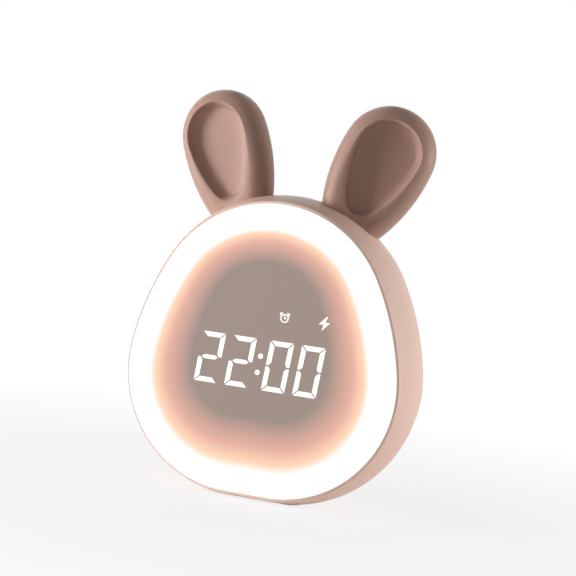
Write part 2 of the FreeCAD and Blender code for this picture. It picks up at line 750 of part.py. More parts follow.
def shells():
    outer = belly_loft("barrel", sized(0))
    hollow = belly_loft("barrel_inside", size("shell_wall"))
    inner = cut("inside", hollow, under_block("inside_floor", size("foot_stand") + size("under_wall")))
    rest = belly_loft("barrel_rest", sized(0))
    tube = cut("tube", outer, inner)
    ledge = egg_prism("ledge", (TRAY_BACK, LEDGE_BACK), size("lip_grow"), -size("ledge_reach"))
    posts = holes("post", size("post_radius"), POSTS, (LEDGE_BACK, POST_END))
    bosses = holes("tray_boss", size("boss_radius"), TRAY_SCREWS, (LEDGE_BACK, LEDGE_BACK + size("short_screw")))
    ear_bosses = [
        ear_rod(f"{word}_ear_boss", size("ear_boss"), PEG_END, size("ear_root") * 3, side)
        for word, side in SIDES
    ]
    # what stands inside is trimmed by the barrel, so that it never shows outside
    inside = common("inside_fittings", rest, fuse("fittings", ledge, *posts, *bosses, *ear_bosses))
    pegs = [
        ear_rod(f"{word}_peg_hole", size("peg_radius") + size("peg_gap"), PEG_END - 1, size("ear_root") * 3, side)
        for word, side in SIDES
    ]
    # room for the plate and the screw under each ear
    pegs += [
        ear_rod(f"{word}_plate_room", size("ear_boss") + size("fit_gap"), PEG_END - size("ear_root"), PEG_END, side)
        for word, side in SIDES
    ]
    foot_bed = block(
        "foot_bed",
        middle(0, size("foot_long") + size("fit_gap") * 2),
        middle(BELLY, size("foot_wide") + size("fit_gap") * 2),
        (0, size("foot_stand") + size("foot_sink")),
    )
    underside = under_block("underside", size("foot_stand"))
    pilots = holes("post_pilot", PILOT, POSTS, (POST_END - size("rear_screw_long"), POST_END))
    tray_pilots = holes("tray_pilot", PILOT, TRAY_SCREWS, (TRAY_BACK, LEDGE_BACK + size("short_screw")))
    housing = cut("housing_cut", fuse("housing_raw", tube, inside), *pegs, underside, foot_bed, *pilots, *tray_pilots)
    keep("housing", housing)

    foot = new_body("foot_body")
    outline = rounded_sketch(
        foot, "foot_outline", "XY_Plane", 0,
        middle(0, size("foot_long")), middle(BELLY, size("foot_wide")), size("foot_corner"),
    )
    slab = foot.newObject("PartDesign::Pad", "foot_pad")
    slab.Profile = outline
    bind(slab, Length=size("foot_stand") + size("foot_sink"))
    keep("rubber_foot", foot)


def face_cover():
    body = new_body("cover_body")
    plate = pad(body, "cover_slab", egg_sketch(body, "cover_outline", FRONT, 0), size("cover_rim"))
    round_edges(body, "cover_round", plate, FRONT, size("cover_edge"))
    skirt_grow = size("lip_grow") - size("shell_wall") - size("fit_gap")
    pad(body, "cover_skirt", egg_sketch(body, "skirt_outline", MOUTH, skirt_grow), size("skirt_depth"))
    hollow = body.newObject("PartDesign::Pocket", "cover_hollow")
    hollow.Profile = egg_sketch(body, "hollow_outline", MOUTH + size("skirt_depth"), skirt_grow - size("skirt_wall"))
    hollow.Reversed = True
    bind(hollow, Length=size("skirt_depth") + size("cover_rim") - size("cover_plate"))
    doc.recompute()
    keep("face_cover", body)


def night_light():
    band = size("glow_width")
    skirt_in = size("lip_grow") - size("shell_wall") - size("fit_gap") - size("skirt_wall")
    keep("smoked_film", egg_prism("film", (PLATE_BACK, FILM_BACK), -band))
    keep("light_diffuser", egg_prism(
        "diffuser", (PLATE_BACK, PLATE_BACK + size("diffuser_thick")),
        skirt_in - size("fit_gap"), -band + size("fit_gap"),
    ))
    wall_out = -band - size("fit_gap")
    wall = egg_prism("baffle", (FILM_BACK, TRAY_FRONT), wall_out, wall_out - size("baffle_wall"))
    floor = egg_prism("floor", (TRAY_FRONT, TRAY_BACK), -size("tray_inset"))
    bosses = holes("display_boss", size("boss_radius"), DISPLAY_SCREWS, (TRAY_FRONT - size("short_screw") + size("tray_floor"), TRAY_FRONT))
    window = block(
        "tray_window",
        middle(0, size("block_width") + size("fit_gap") * 2),
        (TRAY_FRONT - 1, TRAY_BACK + 1),
        (DIGITS - size("block_below") - size("fit_gap"), DIGITS + size("block_above") + size("fit_gap")),
    )
    lead_hole = block("lead_hole", middle(0, size("wire_apart") * 3), (TRAY_FRONT - 1, TRAY_BACK + 1), middle(LIGHT_LEAD_Z, size("wire_radius") * 4))
    pilots = holes("display_pilot", PILOT, DISPLAY_SCREWS, (TRAY_FRONT - size("short_screw"), TRAY_BACK + 1))
    passes = holes("tray_pass", CLEAR, TRAY_SCREWS, (TRAY_FRONT - 1, TRAY_BACK + 1))
    keep("light_tray", cut("tray_cut", fuse("tray_raw", wall, floor, *bosses), window, lead_hole, *pilots, *passes))

    board = egg_prism("light_board_ring", (TRAY_FRONT - size("board_thick"), TRAY_FRONT), -size("board_inset"), wall_out + size("fit_gap"))
    board_holes = holes("light_board_hole", CLEAR, TRAY_SCREWS, (TRAY_FRONT - size("board_thick") - 1, TRAY_FRONT + 1))
    keep("light_board", cut("light_board_cut", board, *board_holes))
    screws("tray_screws", TRAY_SCREWS, TRAY_FRONT - size("board_thick"), size("short_screw") + size("tray_floor") + size("board_thick"))
    keep("night_lamps", lamps())


def lamps():
    """Lamps set evenly along the middle of the band, but for those a screw takes the place of."""
    inset = (float(size("board_inset")) + float(size("glow_width"))) / 2
    wire = Part.Wire([edge.toShape() for edge in face_edges(-inset)])
    count = int(float(size("led_count")))
    front = float(TRAY_FRONT - size("board_thick"))
    long, wide, tall = (float(size(f"led_{word}")) for word in ("long", "wide", "tall"))
    points = wire.discretize(Number=2 * count + 1)[1::2]
    ahead = wire.discretize(Number=20 * count + 1)
    made = []
    room = float(size("head_radius") + size("led_long") / 2) + 0.5
    taken = [Vector(float(x), float(z - FACE_FOOT), 0) for x, z in TRAY_SCREWS]
    for turn, point in enumerate(points):
        if min((point - other).Length for other in taken) < room:
            continue
        towards = ahead[(20 * turn + 11) % (20 * count)] - point
        lamp = Part.makeBox(long, tall, wide, Vector(-long / 2, 0, -wide / 2))
        angle = math.degrees(math.atan2(towards.y, towards.x))
        lamp.Placement = Placement(
            Vector(point.x, front - tall, point.y + float(FACE_FOOT)), Rotation(Vector(0, 1, 0), -angle)
        )
        made.append(lamp)
    item = doc.addObject("Part::Feature", "lamp_row")
    item.Shape = Part.makeCompound(made)
    return item


def segment_shapes():
    """Corner points of a digit's seven segments, before it is slanted, as (x, z) from its middle."""
    half, edge = float(size("digit_width")) / 2, float(size("digit_height")) / 2
    thick, gap = float(size("stroke")), float(size("stroke_gap")) / 2
    inner = thick / 2

    def top(sign):
        return [
            (-half + gap, sign * edge), (half - gap, sign * edge),
            (half - thick, sign * (edge - thick + gap)), (-half + thick, sign * (edge - thick + gap)),
        ]

    def side(across, sign):
        return [
            (across * half, sign * (edge - gap)), (across * half, sign * gap),
            (across * (half - inner), sign * gap), (across * (half - thick + gap), sign * (inner + gap)),
            (across * (half - thick + gap), sign * (edge - thick)),
        ]

    middle_bar = [
        (-half + inner + gap, 0), (-half + thick + gap, inner - gap), (half - thick - gap, inner - gap),
        (half - inner - gap, 0), (half - thick - gap, gap - inner), (-half + thick + gap, gap - inner),
    ]
    return [top(1), side(1, 1), side(1, -1), top(-1), side(-1, -1), side(-1, 1), middle_bar]


def digit_middles():
    pitch, gap = float(size("digit_pitch")), float(size("colon_gap"))
    return [-1.5 * pitch - gap / 2, -0.5 * pitch - gap / 2, 0.5 * pitch + gap / 2, 1.5 * pitch + gap / 2]


def prism(points, x, z, y, depth, slant=0.0):
    """A flat shape of (x, z) points pushed along Y, slanted to the right as it rises."""
    corners = [Vector(x + across + slant * rise, y, z + rise) for across, rise in points]
    return Part.Face(Part.makePolygon(corners + corners[:1])).extrude(Vector(0, depth, 0))


def display_lights(front):
    """The lit shapes of the display: segments, colon dots and icons."""
    depth = float(size("window_deep"))
    slant = math.tan(math.radians(float(size("slant"))))
    z = float(DIGITS)
    segments = [
        prism(shape, x, z, front, depth, slant)
        for x in digit_middles()
        for shape in segment_shapes()
    ]
    apart = float(size("colon_apart")) / 2
    radius = float(size("colon_radius"))
    dots = [
        Part.makeCylinder(radius, depth, Vector(slant * rise, front, z + rise), Vector(0, 1, 0))
        for rise in (-apart, apart)
    ]
    return segments, dots, icons(front, depth)


def icons(front, depth):
    """An alarm clock with two bells and a charging bolt."""
    half = float(size("icon_size")) / 2
    z = float(DIGITS + size("icon_rise"))
    x = float(size("alarm_icon_x"))
    ring = Part.makeCylinder(half * 0.82, depth, Vector(x, front, z), Vector(0, 1, 0))
    ring = ring.cut(Part.makeCylinder(half * 0.56, depth, Vector(x, front, z), Vector(0, 1, 0)))
    bell = [(half * 0.3, half * 1.0), (half * 0.95, half * 0.35), (half * 0.95, half * 1.0)]
    bells = [
        prism([(side * across, rise) for across, rise in bell], x, z, front, depth).cut(
            Part.makeCylinder(half * 0.92, depth, Vector(x, front, z), Vector(0, 1, 0))
        )
        for side in (-1, 1)
    ]
    bolt = [(0.25, 1.1), (-0.85, -0.1), (-0.1, -0.1), (-0.35, -1.1), (0.85, 0.25), (0.1, 0.25), (0.45, 1.1)]
    bolt = prism([(across * half, rise * half) for across, rise in bolt], float(size("charge_icon_x")), z, front, depth)
    return [ring, *bells, bolt]


def feature(name, shapes):
    item = doc.addObject("Part::Feature", name)
    item.Shape = Part.makeCompound(shapes)
    return item


def display():
    front = FILM_BACK + size("fit_gap")
    segments, dots, signs = display_lights(float(front))
    keep("digit_segments", feature("segments", segments))
    keep("colon_dots", feature("dots", dots))
    keep("status_icons", feature("signs", signs))
    slab = block(
        "display_slab",
        middle(0, size("block_width")),
        (front, TRAY_BACK),
        (DIGITS - size("block_below"), DIGITS + size("block_above")),
    )
    windows = feature("windows", segments + dots + signs)
    keep("display_block", cut("display_cut", slab, windows))

    board = block(
        "display_board_slab",
        middle(0, size("display_board_width")),
        (TRAY_BACK, DISPLAY_BACK),
        (DIGITS - size("block_below"), DIGITS + size("block_above")),
    )
    board_holes = holes("display_board_hole", CLEAR, DISPLAY_SCREWS, (TRAY_BACK - 1, DISPLAY_BACK + 1))
    keep("display_board", cut("display_board_cut", board, *board_holes))
    screws("display_screws", DISPLAY_SCREWS, DISPLAY_BACK, size("short_screw"), backwards=True)
    keep("display_driver", block("driver_slab", middle(0, 10), (DISPLAY_BACK, DISPLAY_BACK + 1.5), middle(DIGITS, 7)))


def rear_cover():
    body = new_body("rear_body")
    shell = pad(body, "rear_slab", egg_sketch(body, "rear_outline", SEAM, size("seam_grow")), size("rear_depth"))
    round_edges(body, "rear_round", shell, BACK, size("rear_edge"))
    inside = size("seam_grow") - size("rear_side")
    hollow = egg_prism("rear_hollow", (SEAM - size("rear_lip") - 1, REAR_INNER), inside)
    lip_out = size("seam_grow") - size("shell_wall") - size("fit_gap")
    lip = egg_prism("rear_lip_ring", (SEAM - size("rear_lip"), SEAM), lip_out)
    shell = cut("rear_shell", fuse("rear_raw", body, lip), hollow)
    posts = holes("rear_post", size("post_radius"), POSTS, (REAR_POST_START, REAR_INNER + 1))
    trim = egg_prism("rear_trim", (REAR_POST_START, REAR_INNER + 1), lip_out)
    posts = common("rear_posts", trim, fuse("rear_post_set", *posts))
    bosses = holes("main_boss", size("boss_radius"), MAIN_SCREWS, (MAIN_BACK, REAR_INNER + 1))
    panel = rounded_prism(
        "panel", (PANEL, BACK + 1), middle(0, size("panel_width")), (up("panel_low"), up("panel_high")), size("panel_corner"),
    )
    seats = holes("head_seat", size("head_radius") + size("hole_gap"), POSTS, (HEAD_SEAT, BACK + 1))
    passes = holes("rear_pass", CLEAR, POSTS, (REAR_POST_START - 1, HEAD_SEAT + 1))
    pilots = holes("main_pilot", PILOT, MAIN_SCREWS, (MAIN_BACK - 1, MAIN_BACK + size("short_screw")))
    key_holes = [
        key_prism(f"key_hole{turn}", x, (REAR_INNER - 1, BACK), size("key_gap"))
        for turn, x in enumerate(KEY_X)
    ]
    slot = rounded_prism(
        "knob_slot", (REAR_INNER - 1, BACK),
        middle(size("slider_x"), size("knob_long") + size("slider_travel") + size("key_gap") * 2),
        middle(up("port_z"), size("knob_tall") + size("key_gap") * 2),
        size("knob_tall") / 4,
    )
    port = rounded_prism(
        "port_hole", (REAR_INNER - 1, BACK),
        middle(0, size("port_width") + size("fit_gap") * 2),
        middle(up("port_z"), size("port_height") + size("fit_gap") * 2),
        size("port_height") / 2,
    )
    reset = rod("reset_hole", size("reset_radius"), size("reset_x"), (REAR_INNER - 1, BACK), up("port_z"))
    grille = holes("grille", size("grille_radius"), grille_places(), (REAR_INNER - 1, BACK + 1))
    keep("rear_cover", cut(
        "rear_cut", fuse("rear_full", shell, posts, *bosses),
        panel, *seats, *passes, *pilots, *key_holes, slot, port, reset, *grille,
    ))
    screws("rear_screws", POSTS, HEAD_SEAT, size("rear_screw_long"), backwards=True)


def grille_places():
    """A middle hole and rings of six, twelve and more round it."""
    centre = up("speaker_z")
    places = [(sized(0), centre)]
    for ring in range(1, int(float(size("grille_rings"))) + 1):
        count = 6 * ring
        for turn in range(count):
            angle = 2 * math.pi * turn / count
            reach = size("grille_pitch") * ring
            places.append((reach * math.cos(angle), centre + reach * math.sin(angle)))
    return places


KEY_NAMES = ("minus", "set", "plus")
KEY_X = [size("key_apart") * turn for turn in (-1, 0, 1)]


def key_prism(name, x, y, grow):
    """A stadium: a key's cap, its hole or its flange, by how much it is grown."""
    grow = sized(grow)
    long, tall = size("key_long") + grow * 2, size("key_tall") + grow * 2
    return rounded_prism(name, y, middle(x, long), middle(up("key_z"), tall), tall / 2 - 0.01)


def keys():
    for word, x in zip(KEY_NAMES, KEY_X):
        cap = key_prism(f"{word}_cap", x, (FLANGE_BACK, PANEL + size("key_stand")), 0)
        flange = key_prism(f"{word}_flange", x, (FLANGE_FRONT, FLANGE_BACK), size("flange_reach"))
        keep(f"{word}_key", fuse(f"{word}_key_raw", cap, flange))
        switch_top = MAIN_BACK + size("switch_tall")
        body = block(
            f"{word}_switch_box", middle(x, size("switch_side")), (MAIN_BACK, switch_top), middle(up("key_z"), size("switch_side"))
        )
        bore = rod(
            f"{word}_switch_bore", size("plunger_bore"), x,
            (switch_top - size("plunger_sunk") - size("plunger_room"), switch_top + 1), up("key_z"),
        )
        keep(f"{word}_switch", cut(f"{word}_switch_cut", body, bore))
        keep(f"{word}_plunger", rod(
            f"{word}_plunger_rod", size("plunger_radius"), x, (switch_top - size("plunger_sunk"), FLANGE_FRONT), up("key_z"),
        ))


def power_switch():
    rest_x = size("slider_x") - size("slider_travel") / 2
    knob = rounded_prism(
        "knob_cap", (FLANGE_BACK, PANEL + size("key_stand")),
        middle(rest_x, size("knob_long")), middle(up("port_z"), size("knob_tall")), size("knob_tall") / 4,
    )
    ribs = [
        block(
            f"knob_rib{turn}", middle(rest_x + turn, 0.4),
            (PANEL + size("key_stand"), PANEL + size("key_stand") + 0.15), middle(up("port_z"), size("knob_tall") - 1),
        )
        for turn in (-1, 0, 1)
    ]
    reach = size("knob_long") + size("slider_travel") * 2 + size("flange_reach") * 2
    flange = block(
        "knob_flange", middle(rest_x, reach), (FLANGE_FRONT, FLANGE_BACK),
        middle(up("port_z"), size("knob_tall") + size("flange_reach") * 2),
    )
    keep("power_knob", fuse("knob_raw", knob, *ribs, flange))
    top = MAIN_BACK + size("slide_switch_deep")
    case = block(
        "slide_case", middle(size("slider_x"), size("slide_switch_long")), (MAIN_BACK, top),
        middle(up("port_z"), size("slide_switch_tall")),
    )
    slot = block(
        "slide_slot",
        middle(size("slider_x"), size("lever_side") + size("slider_travel") + size("fit_gap") * 2),
        (top - size("lever_sunk") - size("fit_gap"), top + 1),
        middle(up("port_z"), size("lever_side") + size("fit_gap") * 2),
    )
    keep("slide_switch", cut("slide_switch_cut", case, slot))
    keep("switch_lever", block(
        "lever_bar", middle(rest_x, size("lever_side")), (top - size("lever_sunk"), FLANGE_FRONT),
        middle(up("port_z"), size("lever_side")),
    ))


def main_board():
    slab = block("main_slab", middle(0, size("main_width")), (MAIN_FRONT, MAIN_BACK), (up("main_low"), up("main_high")))
    board_holes = holes("main_hole", CLEAR, MAIN_SCREWS, (MAIN_FRONT - 1, MAIN_BACK + 1))
    keep("main_board", cut("main_board_cut", slab, *board_holes))
    screws("main_board_screws", MAIN_SCREWS, MAIN_FRONT, size("short_screw"))
    keep("control_chip", block("chip_slab", middle(0, 9), (MAIN_BACK, MAIN_BACK + 1.4), middle(up("key_z") - 9, 6)))
    keep("charging_chip", block("charger_slab", middle(9, 4), (MAIN_BACK, MAIN_BACK + 1.4), middle(up("port_z"), 5)))
    can = doc.addObject("Part::Cylinder", "crystal_can")
    bind(can, Radius=1.0, Height=6.0)
    place(can, 9, MAIN_BACK + 1.0, up("key_z") - 12)
    keep("clock_crystal", can)
    reset_side = 4.0
    keep("reset_switch", block(
        "reset_box", middle(size("reset_x"), reset_side), (MAIN_BACK, MAIN_BACK + 2.0), middle(up("port_z"), reset_side)
    ))


def charging_socket():
    mouth = PANEL - 0.2
    x, z = middle(0, size("port_width")), middle(up("port_z"), size("port_height"))
    wall = size("port_wall")
    shell = rounded_prism("port_shell", (MAIN_BACK, mouth), x, z, size("port_height") / 2 - 0.01)
    hollow = rounded_prism(
        "port_hollow", (MAIN_BACK + 1, mouth + 1),
        middle(0, size("port_width") - wall * 2), middle(up("port_z"), size("port_height") - wall * 2),
        size("port_height") / 2 - wall - 0.01,
    )
    keep("charging_socket", cut("port_cut", shell, hollow))
    keep("socket_tongue", block(
        "tongue_bar", middle(0, size("tongue_width")), (MAIN_BACK + 1, mouth - size("tongue_back")),
        middle(up("port_z"), size("tongue_thick")),
    ))


def battery():
    back = MAIN_FRONT - size("tape_thick")
    height = (up("battery_low"), up("battery_low") + size("battery_height"))
    width = middle(0, size("battery_width"))
    body = new_body("battery_body")
    outline = rounded_sketch(
        body, "battery_outline", "XY_Plane", height[0], width, (back - size("battery_thick"), back), size("battery_corner"),
    )
    cell = body.newObject("PartDesign::Pad", "battery_pad")
    cell.Profile = outline
    bind(cell, Length=size("battery_height"))
    keep("battery", body)
    keep("battery_tape", block(
        "tape_slab", middle(0, size("battery_width") - 6), (back, MAIN_FRONT), (height[0] + 3, height[1] - 3)
    ))


def speaker():
    z = up("speaker_z")
    gasket_front = REAR_INNER - size("gasket_thick")
    rim_front = gasket_front - size("speaker_rim")
    basket_front = rim_front - size("basket_deep")
    rim = size("speaker_radius")
    open_in = rim - size("gasket_wide")
    ring = rod("gasket_disc", rim, 0, (gasket_front, REAR_INNER), z)
    keep("speaker_gasket", cut("gasket_cut", ring, rod("gasket_hole", open_in, 0, (gasket_front - 1, REAR_INNER + 1), z)))
    thin = 0.8
    plate = rod("rim_disc", rim, 0, (rim_front, gasket_front), z)
    bowl = cone("bowl", size("magnet_radius") + 1, open_in + 1, 0, (basket_front, rim_front), z)
    inside = cone("bowl_inside", size("magnet_radius") + 1 - thin, open_in + 1 - thin, 0, (basket_front + thin, gasket_front), z)
    mouth = rod("rim_hole", open_in, 0, (rim_front, gasket_front + 1), z)
    keep("speaker_basket", cut("basket_cut", fuse("basket_raw", plate, bowl), inside, mouth))
    deep = size("basket_deep") - 1.5
    outer = cone("cone_outer", 4.5, open_in - 0.3, 0, (gasket_front - deep, gasket_front), z)
    inner = cone("cone_inner", 4.2, open_in - 0.6, 0, (gasket_front - deep + 0.4, gasket_front + 0.01), z)
    keep("speaker_cone", cut("cone_cut", outer, inner))
    keep("speaker_magnet", rod("magnet_disc", size("magnet_radius"), 0, (basket_front - size("magnet_thick"), basket_front), z))


def ears():
    blank = ear_blank("ear_blank")
    crown = belly_loft("crown_tool", sized(0))
    for word, side in SIDES:
        shape = placed(f"{word}_ear_shape", blank, ear_frame(side))
        shape = cut(f"{word}_ear_cut", shape, crown)
        peg = ear_rod(f"{word}_peg", size("peg_radius"), PEG_END, size("ear_root") * 2.2, side)
        pilot = ear_rod(f"{word}_peg_pilot", PILOT, PEG_END - 1, PEG_END + size("short_screw") + 1, side)
        keep(f"{word}_ear", cut(f"{word}_ear_full", fuse(f"{word}_ear_raw", shape, peg), pilot))
        plate = ear_rod(f"{word}_plate", size("ear_boss"), RETAINER_END, PEG_END, side)
        hole = ear_rod(f"{word}_plate_hole", CLEAR, RETAINER_END - 1, PEG_END + 1, side)
        keep(f"{word}_ear_retainer", cut(f"{word}_plate_cut", plate, hole))
        head = ear_rod(f"{word}_screw_head", size("head_radius"), RETAINER_END - size("head_tall"), RETAINER_END, side)
        shank = ear_rod(f"{word}_screw_shank", size("screw_radius"), RETAINER_END, PEG_END + size("short_screw"), side)
        keep(f"{word}_ear_screw", fuse(f"{word}_ear_screw_raw", head, shank))


# the leads: each runs straight out, turns once or twice on an arc, and ends square
LIGHT_LEAD_Z = FACE_FOOT + size("ledge_reach") + size("wire_radius") * 2


def lead(points, bend):
    """A round wire along straight runs joined by tangent arcs of one radius."""
    radius = float(size("wire_radius"))
    points = [Vector(*point) for point in points]
    edges = []
    start = points[0]
    for before, corner, after in zip(points, points[1:], points[2:]):
        back = (before - corner).normalize()
        on = (after - corner).normalize()
        turn = math.pi - back.getAngle(on)
        reach = bend * math.tan(turn / 2)
        first, last = corner + back * reach, corner + on * reach
        middle_way = (back + on).normalize()
        centre = corner + middle_way * (bend / math.cos(turn / 2))
        edges.append(Part.LineSegment(start, first).toShape())
        edges.append(Part.Arc(first, centre - middle_way * bend, last).toShape())
        start = last
    edges.append(Part.LineSegment(start, points[-1]).toShape())
    path = Part.Wire(edges)
    ahead = (points[1] - points[0]).normalize()
    disc = Part.Wire([Part.Circle(points[0], ahead, radius).toShape()])
    return path.makePipeShell([disc], True, False)


def leads():
    half = float(size("wire_apart")) / 2
    bend = 6 * float(size("wire_radius"))
    plug_front = float(MAIN_FRONT - size("plug_deep"))
    plug_mid = float(MAIN_FRONT - size("plug_deep") / 2)
    height = float(size("plug_height"))
    side_x = float(size("battery_width")) / 2 + float(size("plug_width")) / 2 + 1.4

    # battery: out of the cell's right side near its top, down into its socket
    battery_z = float(up("battery_low") + size("battery_height")) - 6.0
    socket_top = battery_z - 13.0
    cell_side = float(size("battery_width")) / 2
    keep("battery_leads", feature("battery_lead_pair", [
        lead([(cell_side, plug_mid + off, battery_z), (side_x, plug_mid + off, battery_z), (side_x, plug_mid + off, socket_top)], bend)
        for off in (-half, half)
    ]))
    sockets = [lead_socket("battery_socket", side_x, socket_top)]

    # speaker: off the terminal under its rim, across and down into their socket
    centre = float(up("speaker_z"))
    low = centre - float(size("speaker_radius")) + 0.5
    rim_front = REAR_INNER - size("gasket_thick") - size("speaker_rim")
    tab = block("terminal_tab", (-3, 3), (plug_mid - 1.2, rim_front), (low, low + 3.6))
    bowl = cone(
        "terminal_relief", size("magnet_radius") + 1, size("speaker_radius") - size("gasket_wide") + 1,
        0, (rim_front - size("basket_deep"), rim_front), centre,
    )
    relief = rod("magnet_relief", size("magnet_radius") + 1, 0, (plug_mid - 2, rim_front), centre)
    keep("speaker_terminal", cut("terminal_cut", tab, bowl, relief))
    speaker_top = float(up("main_high")) - 12.0
    keep("speaker_leads", feature("speaker_lead_pair", [
        lead([(-3.0, plug_mid, low + 1.4 + off), (-side_x - off, plug_mid, low + 1.4 + off), (-side_x - off, plug_mid, speaker_top)], bend)
        for off in (-half, half)
    ]))
    sockets.append(lead_socket("speaker_socket", -side_x, speaker_top))

    # night light: back off its board through the tray, then up into its socket
    light_z = float(LIGHT_LEAD_Z)
    light_bottom = float(up("main_low")) + 1.5
    keep("light_leads", feature("light_lead_pair", [
        lead([(off, float(TRAY_FRONT), light_z), (off, plug_mid, light_z), (off, plug_mid, light_bottom)], bend)
        for off in (-half, half)
    ]))
    sockets.append(lead_socket("light_socket", 0.0, light_bottom + height))
    keep("lead_sockets", group("lead_socket_set", *sockets))
    ribbon()


def lead_socket(name, x, top):
    """A moulded lead socket on the front of the main board."""
    return block(
        name, middle(x, size("plug_width")), (MAIN_FRONT - size("plug_deep"), MAIN_FRONT),
        (sized(top) - size("plug_height"), top),
    )


def ribbon():
    """The flat cable from the display board up, over and down to the main board."""
    width, thick = float(size("ribbon_width")), float(size("ribbon_thick"))
    bend, rise = float(size("ribbon_bend")), float(size("ribbon_rise"))
    depth, tall = 2.4, 3.0
    display_top = float(DIGITS + size("block_above")) - 1.0
    main_top = float(up("main_high")) - 0.5
    first = float(DISPLAY_BACK) + depth / 2
    last = float(MAIN_FRONT) - depth / 2
    top = max(display_top, main_top) + rise
    x = float(size("ribbon_x")) - width / 2

    def arc(y0, z0, ym, zm, y1, z1):
        return Part.Arc(Vector(x, y0, z0), Vector(x, ym, zm), Vector(x, y1, z1)).toShape()

    def line(y0, z0, y1, z1):
        return Part.LineSegment(Vector(x, y0, z0), Vector(x, y1, z1)).toShape()

    def outline(off):
        """The cable's line, moved off to its outer side."""
        radius = bend + off
        knee = radius * math.sqrt(0.5)
        near, far = first + bend, last - bend
        height = top - bend
        return (
            line(first - off, display_top, first - off, height),
            arc(first - off, height, near - knee, height + knee, near, height + radius),
            line(near, height + radius, far, height + radius),
            arc(far, height + radius, far + knee, height + knee, last + off, height),
            line(last + off, height, last + off, main_top),
        )

    half = thick / 2
    outside, inside = outline(half), outline(-half)
    start = line(first + half, display_top, first - half, display_top)
    end = line(last + half, main_top, last - half, main_top)
    loop = Part.Wire([start, *outside, end, *reversed(inside)])
    keep("ribbon_cable", feature("ribbon_strip", [Part.Face(loop).extrude(Vector(width, 0, 0))]))
    wide = middle(size("ribbon_x"), size("ribbon_width") + 2)
    keep("ribbon_sockets", group(
        "ribbon_socket_set",
        block("display_ribbon_socket", wide, (DISPLAY_BACK, DISPLAY_BACK + depth), (display_top - tall, display_top)),
        block("main_ribbon_socket", wide, (MAIN_FRONT - depth, MAIN_FRONT), (main_top - tall, main_top)),
    ))


def touch_foil():
    """Copper foil stuck under the crown, between the ears."""
    grow = size("belly_grow") - size("shell_wall") - size("fit_gap") * 2
    ends = middle(BELLY, size("foil_wide"))
    ring = egg_prism("foil_ring", ends, grow, grow - size("foil_thick"))
    window = block("foil_window", middle(0, size("foil_long")), ends, (up("speaker_z"), up("face_height") * 2))
    keep("touch_foil", common("touch_foil_strip", ring, window))


shells()
face_cover()
night_light()
display()
rear_cover()
keys()
power_switch()
main_board()
charging_socket()
battery()
speaker()
ears()
leads()
touch_foil()

doc.recompute()
bad = [item.Name for item in doc.Objects if {"Invalid", "Error"} & set(item.State)]
if bad:
    raise SystemExit(f"failed objects: {bad}")
for label, item in parts.items():
    if item.Shape.isNull() or not item.Shape.isValid() or not item.Shape.Solids:
        raise SystemExit(f"{label} has no valid shape")

os.makedirs("parts", exist_ok=True)
for label, item in parts.items():
    item.Shape.exportStep(f"parts/{label}.step")
print(len(parts), "parts written")
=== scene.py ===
"""Looks of the rabbit-eared alarm clock with a night light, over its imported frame."""

import math

import bmesh
import bpy
from mathutils import Matrix, Vector


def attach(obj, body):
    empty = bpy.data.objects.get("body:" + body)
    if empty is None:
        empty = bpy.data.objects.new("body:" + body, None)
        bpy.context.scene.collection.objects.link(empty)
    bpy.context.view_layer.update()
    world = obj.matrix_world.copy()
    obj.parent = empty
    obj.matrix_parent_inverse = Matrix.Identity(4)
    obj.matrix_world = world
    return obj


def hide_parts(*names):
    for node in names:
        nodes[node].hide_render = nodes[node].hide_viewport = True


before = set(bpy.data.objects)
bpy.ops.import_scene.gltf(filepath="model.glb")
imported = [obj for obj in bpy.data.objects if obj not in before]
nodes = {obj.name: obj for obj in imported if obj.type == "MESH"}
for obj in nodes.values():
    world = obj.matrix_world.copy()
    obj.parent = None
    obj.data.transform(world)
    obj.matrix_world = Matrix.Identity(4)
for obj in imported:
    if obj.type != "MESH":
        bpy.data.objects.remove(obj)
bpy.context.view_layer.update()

# The camera looks at the clock from its left side and a little from above, and leans
# over, so the clock stands aslant in the picture. Its frame is 576 pixels square.
scene = bpy.context.scene
scene.view_settings.view_transform = "Standard"

TURN = math.radians(18.2)
HEIGHT = math.radians(5.0)
ROLL = math.radians(7.0)
AWAY = 0.6
AIM = Vector((0, -0.0225, 0.0524))
FRAME_PIXELS = 576
FOCAL_PIXELS = 1665
AIM_PIXEL = (259.5, 358.8)
SENSOR = 36
backwards = Vector((math.sin(TURN) * math.cos(HEIGHT), -math.cos(TURN) * math.cos(HEIGHT), math.sin(HEIGHT)))

lens = bpy.data.cameras.new("camera")
lens.sensor_width = SENSOR
lens.lens = FOCAL_PIXELS / FRAME_PIXELS * SENSOR
lens.shift_x = (FRAME_PIXELS / 2 - AIM_PIXEL[0]) / FRAME_PIXELS
lens.shift_y = (AIM_PIXEL[1] - FRAME_PIXELS / 2) / FRAME_PIXELS
lens.clip_start = 0.01
camera = bpy.data.objects.new("camera", lens)
scene.collection.objects.link(camera)
scene.camera = camera
camera.rotation_mode = "QUATERNION"
camera.location = AIM + backwards * AWAY
facing = (-backwards).to_track_quat("-Z", "Y")
camera.rotation_quaternion = facing @ Matrix.Rotation(ROLL, 4, "Z").to_quaternion()


# The floor is a wide white sheet that carries the clock's soft shadow. It fades to
# plain white away from the clock, both to the eye and in what the metal mirrors.
FLOOR_REACH = 60
SHADOW_NEAR, SHADOW_FAR = 0.06, 0.30
WHITE_NEAR = 0.80


